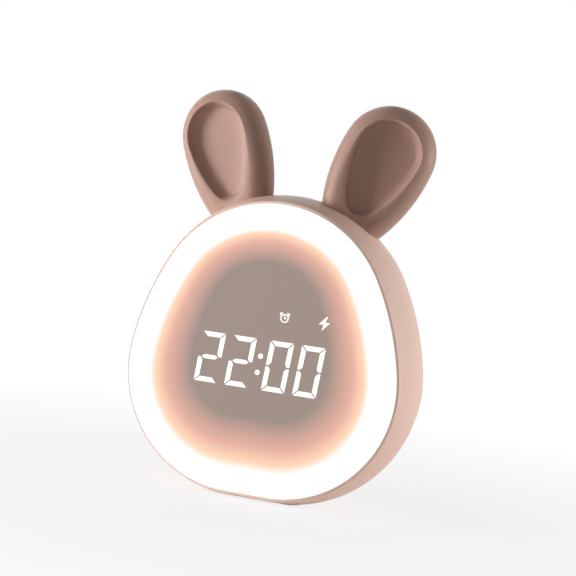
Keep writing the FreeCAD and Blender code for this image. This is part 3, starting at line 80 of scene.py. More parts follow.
def white_to_see(tree):
    """A socket that is 1 for what the camera sees, straight, mirrored or through glass."""
    seen = tree.nodes.new("ShaderNodeLightPath")
    mirrored = tree.nodes.new("ShaderNodeMath")
    mirrored.operation = "MAXIMUM"
    through = tree.nodes.new("ShaderNodeMath")
    through.operation = "MAXIMUM"
    tree.links.new(seen.outputs["Is Camera Ray"], mirrored.inputs[0])
    tree.links.new(seen.outputs["Is Glossy Ray"], mirrored.inputs[1])
    tree.links.new(mirrored.outputs[0], through.inputs[0])
    tree.links.new(seen.outputs["Is Transmission Ray"], through.inputs[1])
    return through.outputs[0]


floor_mesh = bpy.data.meshes.new("floor")
sheet = bmesh.new()
bmesh.ops.create_grid(sheet, x_segments=1, y_segments=1, size=FLOOR_REACH)
sheet.to_mesh(floor_mesh)
sheet.free()
floor = bpy.data.objects.new("floor", floor_mesh)
scene.collection.objects.link(floor)

floor_paint = bpy.data.materials.new("white_floor")
floor_paint.use_nodes = True
tree = floor_paint.node_tree
tree.nodes.clear()
out = tree.nodes.new("ShaderNodeOutputMaterial")
paint = tree.nodes.new("ShaderNodeBsdfDiffuse")
paint.inputs["Color"].default_value = (0.95, 0.95, 0.95, 1)
white = tree.nodes.new("ShaderNodeEmission")
white.inputs["Strength"].default_value = 1.0
place = tree.nodes.new("ShaderNodeTexCoord")
reach = tree.nodes.new("ShaderNodeVectorMath")
reach.operation = "LENGTH"
near = tree.nodes.new("ShaderNodeMapRange")
near.inputs["From Min"].default_value = SHADOW_NEAR
near.inputs["From Max"].default_value = SHADOW_FAR
near.inputs["To Min"].default_value = WHITE_NEAR
near.inputs["To Max"].default_value = 1.0
share = tree.nodes.new("ShaderNodeMath")
share.operation = "MULTIPLY"
mix = tree.nodes.new("ShaderNodeMixShader")
tree.links.new(place.outputs["Object"], reach.inputs[0])
tree.links.new(reach.outputs["Value"], near.inputs["Value"])
tree.links.new(white_to_see(tree), share.inputs[0])
tree.links.new(near.outputs[0], share.inputs[1])
tree.links.new(share.outputs[0], mix.inputs[0])
tree.links.new(paint.outputs[0], mix.inputs[1])
tree.links.new(white.outputs[0], mix.inputs[2])
tree.links.new(mix.outputs[0], out.inputs[0])
floor.data.materials.append(floor_paint)


# The sky is white to the eye and lights the clock softly, more from the horizon down
# than from above, as the white floor of a studio does.
SKY_LOW, SKY_HIGH = (0.72, 0.69, 0.67, 1), (0.03, 0.033, 0.045, 1)

world = bpy.data.worlds.new("studio")
scene.world = world
world.use_nodes = True
tree = world.node_tree
tree.nodes.clear()
out = tree.nodes.new("ShaderNodeOutputWorld")
place = tree.nodes.new("ShaderNodeTexCoord")
split = tree.nodes.new("ShaderNodeSeparateXYZ")
sky = tree.nodes.new("ShaderNodeValToRGB")
sky.color_ramp.elements[0].position = 0.35
sky.color_ramp.elements[0].color = SKY_LOW
sky.color_ramp.elements[1].position = 0.95
sky.color_ramp.elements[1].color = SKY_HIGH
height = tree.nodes.new("ShaderNodeMapRange")
height.inputs["From Min"].default_value = -1
height.inputs["From Max"].default_value = 1
light = tree.nodes.new("ShaderNodeBackground")
light.inputs["Strength"].default_value = 0.7
white = tree.nodes.new("ShaderNodeBackground")
white.inputs["Color"].default_value = (1, 1, 1, 1)
mix = tree.nodes.new("ShaderNodeMixShader")
tree.links.new(place.outputs["Generated"], split.inputs[0])
tree.links.new(split.outputs["Z"], height.inputs["Value"])
tree.links.new(height.outputs[0], sky.inputs[0])
tree.links.new(sky.outputs["Color"], light.inputs["Color"])
tree.links.new(white_to_see(tree), mix.inputs[0])
tree.links.new(light.outputs[0], mix.inputs[1])
tree.links.new(white.outputs[0], mix.inputs[2])
tree.links.new(mix.outputs[0], out.inputs[0])


# Three soft lamps: one low at the left for the ears' dishes, one at the right and a
# little behind for the barrel and the rims, and a weak one behind for the back.
def studio_lamp(name, place, aim, size, power, colour=(1, 1, 1)):
    lamp = bpy.data.lights.new(name, "AREA")
    lamp.size = size
    lamp.energy = power
    lamp.color = colour
    holder = bpy.data.objects.new(name, lamp)
    scene.collection.objects.link(holder)
    holder.location = place
    holder.rotation_mode = "QUATERNION"
    holder.rotation_quaternion = (Vector(aim) - Vector(place)).to_track_quat("-Z", "Y")


studio_lamp("left_low", (-0.75, -0.35, 0.12), (0, 0, 0.10), 0.30, 7.5, (1, 0.97, 0.95))
studio_lamp("right_side", (0.90, 0.22, 0.16), (0, 0, 0.08), 0.30, 4.8, (1, 0.96, 0.93))
studio_lamp("behind", (-0.3, 0.8, 0.4), (0, 0, 0.08), 0.5, 1.2)


# The face cover is one milky moulding, clipped into the housing's mouth. The lamps behind
# its edge make a white band that dies away over the smoked film into a warm grey.
FACE = dict(low=43.0, low_up=45.4, side=100.0, crown=44.5, crown_up=63.9, flat=8.0, middle=52.0)
FRONT = -22.5
MOUTH = -19.5
EDGE = 2.5
SKIRT_INSET, SKIRT_END = 3.1, -14.6
STEP_INSET, SEAT = 1.5, 0.05
SUNK = 0.06
FACE_STEPS, EDGE_STEPS = 144, 6
MM = 0.001
HALVINGS = 40

# white light, a peach fringe, a rose haze and the warm grey of the film, with the
# distance inside the outline in mm where each one is reached
BAND = (
    (9.0, (1.0, 1.0, 1.0)),
    (11.0, (1.0, 0.65, 0.45)),
    (15.0, (0.75, 0.40, 0.32)),
    (24.0, (0.30, 0.23, 0.20)),
)
BAND_START, BAND_REACH = 9.0, 40.0
WIDE_BELOW, WIDE_ABOVE = 0.62, 1.25
LOW_PART, HIGH_PART = 0.012, 0.085


def egg_reach(angle, low, low_up, side, crown, crown_up, flat, middle):
    """Distance from the middle to an egg's outline, in that direction from +X."""
    start, end = -0.6, 1.2
    for _ in range(HALVINGS):
        joint = (start + end) / 2
        across = flat - (side - low) * math.cos(joint)
        up = low_up - (side - low) * math.sin(joint)
        if math.hypot(across, up - crown_up) > side - crown:
            end = joint
        else:
            start = joint
    high_joint = math.atan2(crown_up - up, -across)
    low_z = low_up + low * math.sin(joint)
    high_z = crown_up + crown * math.sin(high_joint)

    def half_width(z):
        if z > high_z:
            return math.sqrt(max(crown ** 2 - (z - crown_up) ** 2, 0)) if z < crown_up + crown else -1
        if z > low_z:
            return across + math.sqrt(side ** 2 - (z - up) ** 2)
        return flat + math.sqrt(max(low ** 2 - (z - low_up) ** 2, 0)) if z > low_up - low else -1

    near, far = 0.0, 4 * crown
    for _ in range(HALVINGS):
        reach = (near + far) / 2
        x, z = reach * math.cos(angle), middle + reach * math.sin(angle)
        if abs(x) <= half_width(z):
            near = reach
        else:
            far = reach
    return near


def ring_of(count, low, low_up, side, crown, crown_up, flat=0.0, inset=0.0, middle=None):
    """Points of an egg's outline, in millimetres, from +X anticlockwise, all inset alike."""
    sizes = (low - inset, low_up, side - inset, crown - inset, crown_up, flat, middle)
    turns = [2 * math.pi * step / count for step in range(count)]
    reaches = [egg_reach(turn, *sizes) for turn in turns]
    return [(r * math.cos(t), middle + r * math.sin(t)) for r, t in zip(reaches, turns)]


def ring_shell(rings, marks=None):
    """A closed shell through rings of (x, z) points, each with its own depth, from
    its first ring to its last, both closed with a fan about their middles."""
    work = bmesh.new()
    layer = work.verts.layers.float.new("inset") if marks else None
    count = len(rings[0][1])
    first = bmesh.ops.create_circle(work, segments=count, radius=1)["verts"]
    edges = list({edge for vert in first for edge in vert.link_edges})
    loop = first
    for step, (depth, points) in enumerate(rings):
        if step:
            grown = bmesh.ops.extrude_edge_only(work, edges=edges)["geom"]
            edges = [item for item in grown if isinstance(item, bmesh.types.BMEdge)]
            fresh = [item for item in grown if isinstance(item, bmesh.types.BMVert)]
            edges = [edge for edge in edges if all(vert in set(fresh) for vert in edge.verts)]
            partner = {}
            for vert in fresh:
                for edge in vert.link_edges:
                    other = edge.other_vert(vert)
                    if other not in fresh:
                        partner[other] = vert
            loop = [partner[vert] for vert in loop]
        for vert, (x, z) in zip(loop, points):
            vert.co = (x, depth, z)
            if marks:
                vert[layer] = marks[step]
        if step == 0:
            start = list(loop), list(edges)
    for verts, rim, mark in ((start[0], start[1], 0), (loop, edges, -1)):
        middle = sum((vert.co for vert in verts), Vector()) / count
        hub = work.verts.new(middle)
        if marks:
            hub[layer] = marks[mark]
        for edge in rim:
            work.faces.new((*edge.verts, hub))
    bmesh.ops.recalc_face_normals(work, faces=work.faces)
    bmesh.ops.scale(work, vec=(MM, MM, MM), verts=work.verts)
    return work


def piece_from(name, work, material, body, smooth=True):
    """The finished piece of a bmesh, in its place, riding on its body."""
    mesh = bpy.data.meshes.new(name)
    for face in work.faces:
        face.smooth = smooth
    work.to_mesh(mesh)
    work.free()
    mesh.materials.append(material)
    item = bpy.data.objects.new(name, mesh)
    scene.collection.objects.link(item)
    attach(item, body)
    return item


glow = bpy.data.materials.new("glowing_face")
glow.use_nodes = True
tree = glow.node_tree
shader = tree.nodes["Principled BSDF"]
shader.inputs["Roughness"].default_value = 0.4
shader.inputs["Base Color"].default_value = (0.02, 0.018, 0.016, 1)
shader.inputs["Emission Strength"].default_value = 1.0
far_in = tree.nodes.new("ShaderNodeAttribute")
far_in.attribute_name = "inset"
place = tree.nodes.new("ShaderNodeTexCoord")
split = tree.nodes.new("ShaderNodeSeparateXYZ")
low_part = tree.nodes.new("ShaderNodeMapRange")
low_part.inputs["From Min"].default_value = HIGH_PART
low_part.inputs["From Max"].default_value = LOW_PART
low_part.inputs["To Min"].default_value = WIDE_ABOVE
low_part.inputs["To Max"].default_value = WIDE_BELOW
pulled = tree.nodes.new("ShaderNodeMath")
pulled.operation = "SUBTRACT"
pulled.inputs[1].default_value = BAND_START
spread = tree.nodes.new("ShaderNodeMath")
spread.operation = "MULTIPLY"
back_out = tree.nodes.new("ShaderNodeMath")
back_out.operation = "ADD"
back_out.inputs[1].default_value = BAND_START
across = tree.nodes.new("ShaderNodeMapRange")
across.inputs["From Max"].default_value = BAND_REACH
fade = tree.nodes.new("ShaderNodeValToRGB")
stops = fade.color_ramp.elements
stops[0].position, stops[0].color = BAND[0][0] / BAND_REACH, (*BAND[0][1], 1)
stops[1].position, stops[1].color = BAND[-1][0] / BAND_REACH, (*BAND[-1][1], 1)
for reach, colour in BAND[1:-1]:
    stop = stops.new(reach / BAND_REACH)
    stop.color = (*colour, 1)
tree.links.new(place.outputs["Object"], split.inputs[0])
tree.links.new(split.outputs["Z"], low_part.inputs["Value"])
tree.links.new(far_in.outputs["Fac"], pulled.inputs[0])
tree.links.new(pulled.outputs[0], spread.inputs[0])
tree.links.new(low_part.outputs[0], spread.inputs[1])
tree.links.new(spread.outputs[0], back_out.inputs[0])
tree.links.new(back_out.outputs[0], across.inputs["Value"])
tree.links.new(across.outputs[0], fade.inputs[0])
tree.links.new(fade.outputs["Color"], shader.inputs["Emission Color"])

rings, marks = [], []


def face_ring(inset, depth):
    """One ring of the cover, and how far inside the outline it lies."""
    rings.append((depth, ring_of(FACE_STEPS, inset=inset, **FACE)))
    marks.append(inset)


# the back of the cover's skirt, its step, the round of its edge, and the flat front
face_ring(SKIRT_INSET, SKIRT_END)
face_ring(STEP_INSET, SKIRT_END)
face_ring(STEP_INSET, MOUTH + SEAT)
face_ring(0.0, MOUTH + SEAT)
for step in range(EDGE_STEPS + 1):
    angle = math.pi / 2 * step / EDGE_STEPS
    face_ring(EDGE * (1 - math.cos(angle)), FRONT + EDGE * (1 - math.sin(angle)))
for inset in (4.0, 6.0, 8.0, 9.0, 10.0, 11.0, 12.0, 13.5, 15.0, 17.5, 20.0, 24.0, 28.0, 33.0, 38.0):
    face_ring(inset, FRONT + SUNK)
cover = piece_from("glowing_cover", ring_shell(rings, marks), glow, "clock")
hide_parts("face_cover")


# The lit time and signs are the shapes of the display as they show through the film:
# slanted strokes with mitred ends, two dots, a small bell clock and a charging bolt.
lit = bpy.data.materials.new("lit_strokes")
lit.use_nodes = True
tree = lit.node_tree
shader = tree.nodes["Principled BSDF"]
shader.inputs["Base Color"].default_value = (0.3, 0.29, 0.27, 1)
shader.inputs["Roughness"].default_value = 0.5
shader.inputs["Emission Strength"].default_value = 1.0
place = tree.nodes.new("ShaderNodeTexCoord")
flicker = tree.nodes.new("ShaderNodeTexNoise")
flicker.inputs["Scale"].default_value = 160.0
warmth = tree.nodes.new("ShaderNodeValToRGB")
warmth.color_ramp.elements[0].position = 0.3
warmth.color_ramp.elements[0].color = (0.96, 0.90, 0.84, 1)
warmth.color_ramp.elements[1].position = 0.7
warmth.color_ramp.elements[1].color = (1.0, 0.99, 0.96, 1)
tree.links.new(place.outputs["Object"], flicker.inputs["Vector"])
tree.links.new(flicker.outputs["Fac"], warmth.inputs[0])
tree.links.new(warmth.outputs["Color"], shader.inputs["Emission Color"])

DIGIT_Z = 50.4
SLANT = math.tan(math.radians(5))
HALF_W, HALF_H = 4.45, 9.2
STROKE, SPLIT = 2.1, 0.3
PITCH, COLON = 11.9, 2.3
SKIN = FRONT + 0.02
STROKE_DEEP = 0.1
ROUND_STEPS = 24
SIGN_Z = DIGIT_Z + 17.7
CLOCK_SIGN_X, BOLT_SIGN_X = 7.5, 22.5
DOT, DOT_RISE = 0.95, 3.0
CLOCK_RING, CLOCK_HOLE = 1.6, 0.74


def plate(work, points, x, z, slant=0.0):
    """A flat lit shape of (x, z) points, raised off the cover by its own thickness."""
    verts = [work.verts.new((x + a + slant * b, SKIN, z + b)) for a, b in points]
    face = work.faces.new(verts)
    risen = bmesh.ops.extrude_face_region(work, geom=[face])["geom"]
    top = [item for item in risen if isinstance(item, bmesh.types.BMVert)]
    bmesh.ops.translate(work, vec=(0, STROKE_DEEP, 0), verts=top)


bar = [
    (-HALF_W + SPLIT, HALF_H), (HALF_W - SPLIT, HALF_H),
    (HALF_W - STROKE, HALF_H - STROKE + SPLIT), (-HALF_W + STROKE, HALF_H - STROKE + SPLIT),
]
post = [
    (HALF_W, HALF_H - SPLIT), (HALF_W, SPLIT), (HALF_W - STROKE / 2, SPLIT),
    (HALF_W - STROKE + SPLIT, STROKE / 2 + SPLIT), (HALF_W - STROKE + SPLIT, HALF_H - STROKE),
]
waist = [
    (-HALF_W + STROKE / 2 + SPLIT, 0), (-HALF_W + STROKE + SPLIT, STROKE / 2 - SPLIT),
    (HALF_W - STROKE - SPLIT, STROKE / 2 - SPLIT), (HALF_W - STROKE / 2 - SPLIT, 0),
    (HALF_W - STROKE - SPLIT, SPLIT - STROKE / 2), (-HALF_W + STROKE + SPLIT, SPLIT - STROKE / 2),
]


def turned(points, across, up):
    """The same shape, mirrored across or upside down."""
    return [(a * across, b * up) for a, b in points]


def round_points(radius):
    """Points of a circle about (0, 0)."""
    turns = [2 * math.pi * step / ROUND_STEPS for step in range(ROUND_STEPS)]
    return [(radius * math.cos(turn), radius * math.sin(turn)) for turn in turns]


TWO = (bar, turned(bar, 1, -1), waist, post, turned(post, -1, -1))
NOUGHT = (bar, turned(bar, 1, -1), post, turned(post, 1, -1), turned(post, -1, 1), turned(post, -1, -1))
strokes = bmesh.new()
for place_at, digit in zip((-1.5, -0.5, 0.5, 1.5), (TWO, TWO, NOUGHT, NOUGHT)):
    x = place_at * PITCH + math.copysign(COLON / 2, place_at)
    for points in digit:
        plate(strokes, points, x, DIGIT_Z, SLANT)
for rise in (-DOT_RISE, DOT_RISE):
    dot = round_points(DOT)
    plate(strokes, dot, SLANT * rise, DIGIT_Z + rise)
bolt = [(0.6, 2.64), (-2.04, -0.24), (-0.24, -0.24), (-0.84, -2.64), (2.04, 0.6), (0.24, 0.6), (1.08, 2.64)]
plate(strokes, bolt, BOLT_SIGN_X, SIGN_Z)
ring = round_points(CLOCK_RING)
for step in range(ROUND_STEPS):
    (a, b), (c, d) = ring[step], ring[(step + 1) % ROUND_STEPS]
    wedge = [(a, b), (c, d), (c * CLOCK_HOLE, d * CLOCK_HOLE), (a * CLOCK_HOLE, b * CLOCK_HOLE)]
    plate(strokes, wedge, CLOCK_SIGN_X, SIGN_Z)
for side in (-1, 1):
    bell = [(side * 0.62, 1.95), (side * 1.85, 1.95), (side * 1.85, 0.72)]
    plate(strokes, bell, CLOCK_SIGN_X, SIGN_Z)
hands = [(-0.18, 0.85), (0.18, 0.85), (0.18, 0.1), (0.75, 0.1), (0.75, -0.24), (-0.18, -0.24)]
plate(strokes, hands, CLOCK_SIGN_X, SIGN_Z)
bmesh.ops.recalc_face_normals(strokes, faces=strokes.faces)
bmesh.ops.scale(strokes, vec=(MM, MM, MM), verts=strokes.verts)
digits = piece_from("lit_time", strokes, lit, "clock", smooth=False)


# The ears are soft silicone, each a fat pebble with a smooth dish in its front. A peg
# below each one goes through the housing's crown and is pulled down from inside.
THICK = 14.5
ROUND = 6.8
LIP_TURN = 73.5
EAR = dict(low=9.5, low_up=9.5, side=62.0, crown=17.3, crown_up=41.2, middle=36.0)
DISH = dict(low=7.0, low_up=23.0, side=52.0, crown=12.3, crown_up=41.2, middle=36.0)
EAR_LEAN, EAR_TURN, EAR_TILT = 22.5, 11.0, 2.0
EAR_X, EAR_Y, EAR_Z, TOP = 22.0, -0.5, 93.4, 108.4
EAR_STEPS = 96
SEAM = 0.05
ROOT_CUT = 0.010


def group_tree(name, takes, gives):
    """An empty node group with its inputs and outputs, and the two nodes that hold them."""
    tree = bpy.data.node_groups.new(name, "ShaderNodeTree")
    for word, kind, value in takes:
        socket = tree.interface.new_socket(word, in_out="INPUT", socket_type=kind)
        socket.default_value = value
    for word, kind in gives:
        tree.interface.new_socket(word, in_out="OUTPUT", socket_type=kind)
    return tree, tree.nodes.new("NodeGroupInput"), tree.nodes.new("NodeGroupOutput")


GRAIN, taken, given = group_tree(
    "moulded_grain",
    [("Scale", "NodeSocketFloat", 2600.0), ("Depth", "NodeSocketFloat", 0.15)],
    [("Height", "NodeSocketFloat"), ("Roughness", "NodeSocketFloat")],
)
place = GRAIN.nodes.new("ShaderNodeTexCoord")
fine = GRAIN.nodes.new("ShaderNodeTexNoise")
fine.inputs["Detail"].default_value = 3
deep = GRAIN.nodes.new("ShaderNodeMath")
deep.operation = "MULTIPLY"
rough = GRAIN.nodes.new("ShaderNodeMapRange")
rough.inputs["To Min"].default_value = 0.46
rough.inputs["To Max"].default_value = 0.62
GRAIN.links.new(place.outputs["Object"], fine.inputs["Vector"])
GRAIN.links.new(taken.outputs["Scale"], fine.inputs["Scale"])
GRAIN.links.new(fine.outputs["Fac"], deep.inputs[0])
GRAIN.links.new(taken.outputs["Depth"], deep.inputs[1])
GRAIN.links.new(deep.outputs[0], given.inputs["Height"])
GRAIN.links.new(fine.outputs["Fac"], rough.inputs["Value"])
GRAIN.links.new(rough.outputs[0], given.inputs["Roughness"])

TONE, taken, given = group_tree(
    "uneven_tone",
    [
        ("Colour", "NodeSocketColor", (0.8, 0.8, 0.8, 1)),
        ("Shade", "NodeSocketColor", (0.7, 0.7, 0.7, 1)),
        ("Scale", "NodeSocketFloat", 30.0),
    ],
    [("Colour", "NodeSocketColor")],
)
place = TONE.nodes.new("ShaderNodeTexCoord")
cloud = TONE.nodes.new("ShaderNodeTexNoise")
cloud.inputs["Detail"].default_value = 2
blend = TONE.nodes.new("ShaderNodeMix")
blend.data_type = "RGBA"
TONE.links.new(place.outputs["Object"], cloud.inputs["Vector"])
TONE.links.new(taken.outputs["Scale"], cloud.inputs["Scale"])
TONE.links.new(cloud.outputs["Fac"], blend.inputs[0])
TONE.links.new(taken.outputs["Colour"], blend.inputs[6])
TONE.links.new(taken.outputs["Shade"], blend.inputs[7])
TONE.links.new(blend.outputs[2], given.inputs["Colour"])


def finish_of(name, colour, shade, clouds=30.0, grain=2600.0, depth=0.12, metallic=0.0, clear=0.0):
    """A moulded or milled finish: two near colours in clouds, and a fine grain."""
    material = bpy.data.materials.new(name)
    material.use_nodes = True
    tree = material.node_tree
    shader = tree.nodes["Principled BSDF"]
    shader.inputs["Metallic"].default_value = metallic
    shader.inputs["Coat Weight"].default_value = clear
    tone = tree.nodes.new("ShaderNodeGroup")
    tone.node_tree = TONE
    tone.inputs["Colour"].default_value = (*colour, 1)
    tone.inputs["Shade"].default_value = (*shade, 1)
    tone.inputs["Scale"].default_value = clouds
    skin = tree.nodes.new("ShaderNodeGroup")
    skin.node_tree = GRAIN
    skin.inputs["Scale"].default_value = grain
    skin.inputs["Depth"].default_value = depth
    bump = tree.nodes.new("ShaderNodeBump")
    bump.inputs["Strength"].default_value = 0.3
    bump.inputs["Distance"].default_value = 0.0002
    tree.links.new(tone.outputs["Colour"], shader.inputs["Base Color"])
    tree.links.new(skin.outputs["Roughness"], shader.inputs["Roughness"])
    tree.links.new(skin.outputs["Height"], bump.inputs["Height"])
    tree.links.new(bump.outputs["Normal"], shader.inputs["Normal"])
    return material


# The ears' dark brown is painted shade: a darker, browner copy of the housing's pink that stands for the dim
# light on the ears. The two near browns in clouds are random tone.
shade_darkened_ear_skin = finish_of(
    "silicone_ears_painted_shade", (0.43, 0.252, 0.195), (0.385, 0.222, 0.168),
    clouds=26.0, grain=3400.0, depth=0.10,
)
ear_tree = shade_darkened_ear_skin.node_tree
ear_tree.nodes["Principled BSDF"].inputs["Sheen Weight"].default_value = 0.35
ear_tree.nodes["Principled BSDF"].inputs["Sheen Roughness"].default_value = 0.5


def shrunk(points, share, middle=34.0):
    """The ring drawn in to a share of its size about a point at that height."""
    return [(x * share, middle + (z - middle) * share) for x, z in points]


def mixed(first, second, share):
    """A ring part of the way from one ring to another."""
    return [(a + (c - a) * share, b + (d - b) * share) for (a, b), (c, d) in zip(first, second)]


def ear_rings():
    """Rings from the middle of an ear's back, round its edge, over the lip and into the dish."""
    half = THICK / 2
    flat = ring_of(EAR_STEPS, inset=ROUND - SEAM, **EAR)
    rings = [(half - 0.1, shrunk(flat, share)) for share in (0.12, 0.45, 0.8)]
    for turn in (90, 74, 58, 42, 26, 10, -10, -26, -42, -58, -LIP_TURN):
        angle = math.radians(turn)
        inset = min(ROUND * (1 - math.cos(angle)), ROUND - SEAM)
        depth = math.copysign(half - ROUND, angle) + ROUND * math.sin(angle)
        rings.append((depth, ring_of(EAR_STEPS, inset=inset, **EAR)))
    front, rim = rings[-1]
    lip = ring_of(EAR_STEPS, **DISH)
    rings.append((front - 0.06, mixed(rim, lip, 0.5)))
    for inset, deep in ((0, 0), (0.2, 0.3), (0.45, 1.0), (0.8, 2.0), (1.3, 2.9), (2.0, 3.5), (3.0, 3.9)):
        rings.append((front + deep, ring_of(EAR_STEPS, inset=inset, **DISH)))
    floor_ring = rings[-1][1]
    for share, deep in ((0.75, 4.1), (0.45, 4.25), (0.15, 4.3)):
        rings.append((front + deep, shrunk(floor_ring, share, 36.0)))
    return rings


for word, side in (("left", -1), ("right", 1)):
    work = ring_shell(ear_rings())
    cut = bmesh.ops.bisect_plane(
        work, geom=[*work.verts, *work.edges, *work.faces],
        plane_co=(0, 0, ROOT_CUT), plane_no=(0, 0, -1), clear_outer=True,
    )
    rim = [item for item in cut["geom_cut"] if isinstance(item, bmesh.types.BMEdge)]
    bmesh.ops.contextual_create(work, geom=rim)
    lean = Matrix.Rotation(math.radians(EAR_LEAN * side), 4, "Y")
    tilt = Matrix.Rotation(math.radians(-EAR_TILT), 4, "X")
    turn = Matrix.Rotation(math.radians(EAR_TURN * side), 4, "Z")
    down = lean @ Vector((0, 0, TOP - EAR_Z))
    root = Vector((EAR_X * side - down.x, EAR_Y, EAR_Z)) / 1000
    bmesh.ops.transform(work, matrix=Matrix.Translation(root) @ lean @ tilt @ turn, verts=work.verts)
    ear = piece_from(f"{word}_soft_ear", work, shade_darkened_ear_skin, "clock")
    smooth = ear.modifiers.new("soft", "SUBSURF")
    smooth.levels = smooth.render_levels = 1
    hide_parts(f"{word}_ear")


# The housing's barrel and the rear cover are moulded in one pale pink plastic with a
# matte, slightly eroded skin. The cover is screwed on from behind at four places.
shell_skin = finish_of("pink_shell", (0.84, 0.60, 0.51), (0.80, 0.565, 0.475), clouds=18.0)


def dress(material, *names):
    """Gives the solids of these nodes one finish."""
    for name in names:
        mesh = nodes[name].data
        mesh.materials.clear()
        mesh.materials.append(material)


dress(shell_skin, "housing", "rear_cover")


# The three keys and the knob are moulded in the same plastic, a shade darker. Each key
# carries a plain sign in low white bars, which sinks with it.
KEY_TOP = 22.3
SIGN_DEEP, SIGN_LIFT = 0.12, 0.02

key_skin = finish_of("pink_keys", (0.74, 0.52, 0.45), (0.70, 0.49, 0.42), clouds=40.0)
dress(key_skin, "minus_key", "set_key", "plus_key", "power_knob")
sign_skin = finish_of("white_signs", (0.88, 0.86, 0.84), (0.84, 0.82, 0.80), clouds=80.0)


def raised(work, x, z, wide, tall):
    """One low bar of a sign, on the cap of a key."""
    box = bmesh.ops.create_cube(work, size=1)["verts"]
    bmesh.ops.scale(work, vec=(wide, SIGN_DEEP, tall), verts=box)
    bmesh.ops.translate(work, vec=(x, KEY_TOP + SIGN_LIFT, z), verts=box)


SIGNS = {
    "minus": [(-16, 50.4, 2.8, 0.5)],
    "plus": [(16, 50.4, 2.8, 0.5), (16, 51.55, 0.5, 1.8), (16, 49.25, 0.5, 1.8)],
    "set": [(0, 51.6, 3.2, 0.45), (0, 50.4, 3.2, 0.45), (0, 49.2, 3.2, 0.45)],
}
for word, bars in SIGNS.items():
    signs = bmesh.new()
    for x, z, wide, tall in bars:
        raised(signs, x, z, wide, tall)
    bmesh.ops.scale(signs, vec=(MM, MM, MM), verts=signs.verts)
    piece = piece_from(f"{word}_sign", signs, sign_skin, f"{word}_button", smooth=False)


# The foot is a pale rubber pad, glued into the flat under the housing.
# The clock rests on it alone.
foot_skin = finish_of("pale_foot", (0.80, 0.74, 0.71), (0.75, 0.69, 0.66), clouds=60.0, grain=1800.0)
dress(foot_skin, "rubber_foot")


# The night light sits behind the face: the smoked film, a milky ring that spreads the
# light, and a white tray that holds the lamps' lacquered board with five screws.
film = finish_of("smoked_film", (0.09, 0.07, 0.06), (0.08, 0.065, 0.055), clouds=40.0)
diffuser = finish_of("milky_diffuser", (0.92, 0.90, 0.86), (0.88, 0.86, 0.82), clouds=40.0)
tray = finish_of("white_tray", (0.80, 0.80, 0.78), (0.76, 0.76, 0.74))
lacquer = finish_of(
    "green_lacquer", (0.03, 0.14, 0.06), (0.02, 0.10, 0.045), clouds=220.0, grain=900.0, depth=0.08, clear=0.5,
)
lamps = finish_of("lamp_resin", (0.92, 0.66, 0.16), (0.86, 0.58, 0.12), clouds=300.0, clear=0.3)
zinc = finish_of(
    "zinc_screws", (0.60, 0.60, 0.61), (0.50, 0.50, 0.52), clouds=400.0, grain=1200.0, depth=0.1, metallic=1.0,
)
leads = finish_of("red_leads", (0.55, 0.03, 0.02), (0.48, 0.025, 0.018), clouds=200.0)
dress(film, "smoked_film")
dress(diffuser, "light_diffuser")
dress(tray, "light_tray")
dress(lacquer, "light_board")
dress(lamps, "night_lamps")
dress(zinc, "tray_screws")
dress(leads, "light_leads")


# The display is a black moulded block with pale resin in its segments, dots and signs,
# soldered on its own board. Its driver chip sits beside it, and four screws hold it.
resin = finish_of("segment_resin", (0.90, 0.88, 0.82), (0.86, 0.84, 0.78), clouds=90.0)
block_skin = finish_of("display_black", (0.02, 0.02, 0.02), (0.015, 0.015, 0.015), clouds=60.0)
package = finish_of("black_package", (0.03, 0.03, 0.032), (0.022, 0.022, 0.024), clouds=200.0, grain=1500.0)
dress(resin, "digit_segments", "colon_dots", "status_icons")
dress(block_skin, "display_block")
dress(lacquer, "display_board")
dress(package, "display_driver")
dress(zinc, "display_screws")


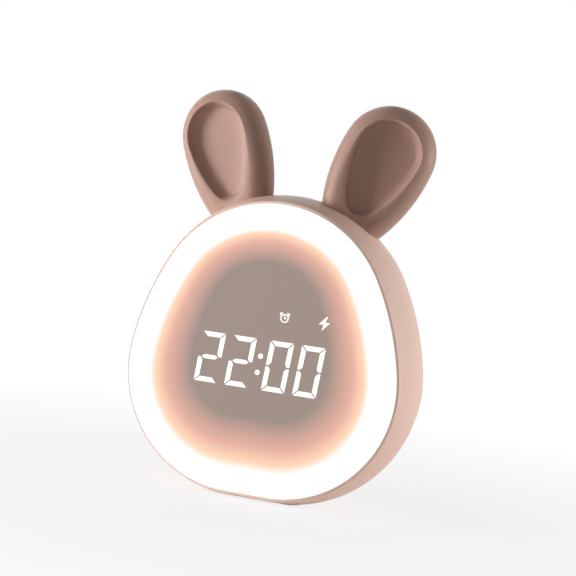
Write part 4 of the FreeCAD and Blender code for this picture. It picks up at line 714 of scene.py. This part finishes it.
# The main board carries black chips, a steel crystal can, the plated charging socket and
# nylon sockets for the leads. A flat grey ribbon joins it to the display's board.
plating = finish_of(
    "plated_steel", (0.66, 0.66, 0.67), (0.56, 0.56, 0.58), clouds=300.0, grain=900.0, depth=0.08, metallic=1.0,
)
nylon = finish_of("nylon_sockets", (0.82, 0.79, 0.70), (0.78, 0.75, 0.66), clouds=120.0)
ribbon = finish_of("grey_ribbon", (0.62, 0.62, 0.60), (0.56, 0.56, 0.54), clouds=260.0)
dress(lacquer, "main_board")
dress(package, "control_chip", "charging_chip", "socket_tongue")
dress(plating, "clock_crystal", "charging_socket")
dress(nylon, "lead_sockets", "ribbon_sockets")
dress(ribbon, "ribbon_cable")
dress(zinc, "main_board_screws")


# The switches are black boxes soldered to the main board. A plunger or a lever stands
# out of each one and meets its key or knob.
dress(package, "minus_switch", "set_switch", "plus_switch", "reset_switch", "slide_switch")
dress(package, "minus_plunger", "set_plunger", "plus_plunger", "switch_lever")


# The battery is a foil pouch, stuck down on a strip of black foam.
# Two red leads run from its side to the main board.
foil = finish_of(
    "battery_foil", (0.62, 0.63, 0.65), (0.52, 0.53, 0.55), clouds=90.0, grain=700.0, depth=0.2, metallic=0.8,
)
foam = finish_of("black_foam", (0.04, 0.04, 0.04), (0.03, 0.03, 0.03), clouds=800.0, grain=1400.0, depth=0.6)
dress(foil, "battery")
dress(foam, "battery_tape")
dress(leads, "battery_leads")


# The speaker is a pressed steel basket with a paper cone and a magnet, set on a foam
# ring behind the grille. Its leads leave a small black block under the rim.
paper = finish_of("paper_cone", (0.05, 0.05, 0.052), (0.035, 0.035, 0.037), clouds=300.0, grain=1100.0, depth=0.5)
dress(plating, "speaker_basket", "speaker_magnet")
dress(paper, "speaker_cone")
dress(foam, "speaker_gasket")
dress(package, "speaker_terminal")
dress(leads, "speaker_leads")


# Steel plates and screws pull the ears' pegs down inside the crown, and four screws
# close the back. A copper foil under the crown senses a tap.
copper = finish_of(
    "copper_foil", (0.85, 0.42, 0.25), (0.74, 0.35, 0.2), clouds=120.0, grain=700.0, depth=0.15, metallic=1.0,
)
dress(plating, "left_ear_retainer", "right_ear_retainer")
dress(zinc, "left_ear_screw", "right_ear_screw", "rear_screws")
dress(copper, "touch_foil")
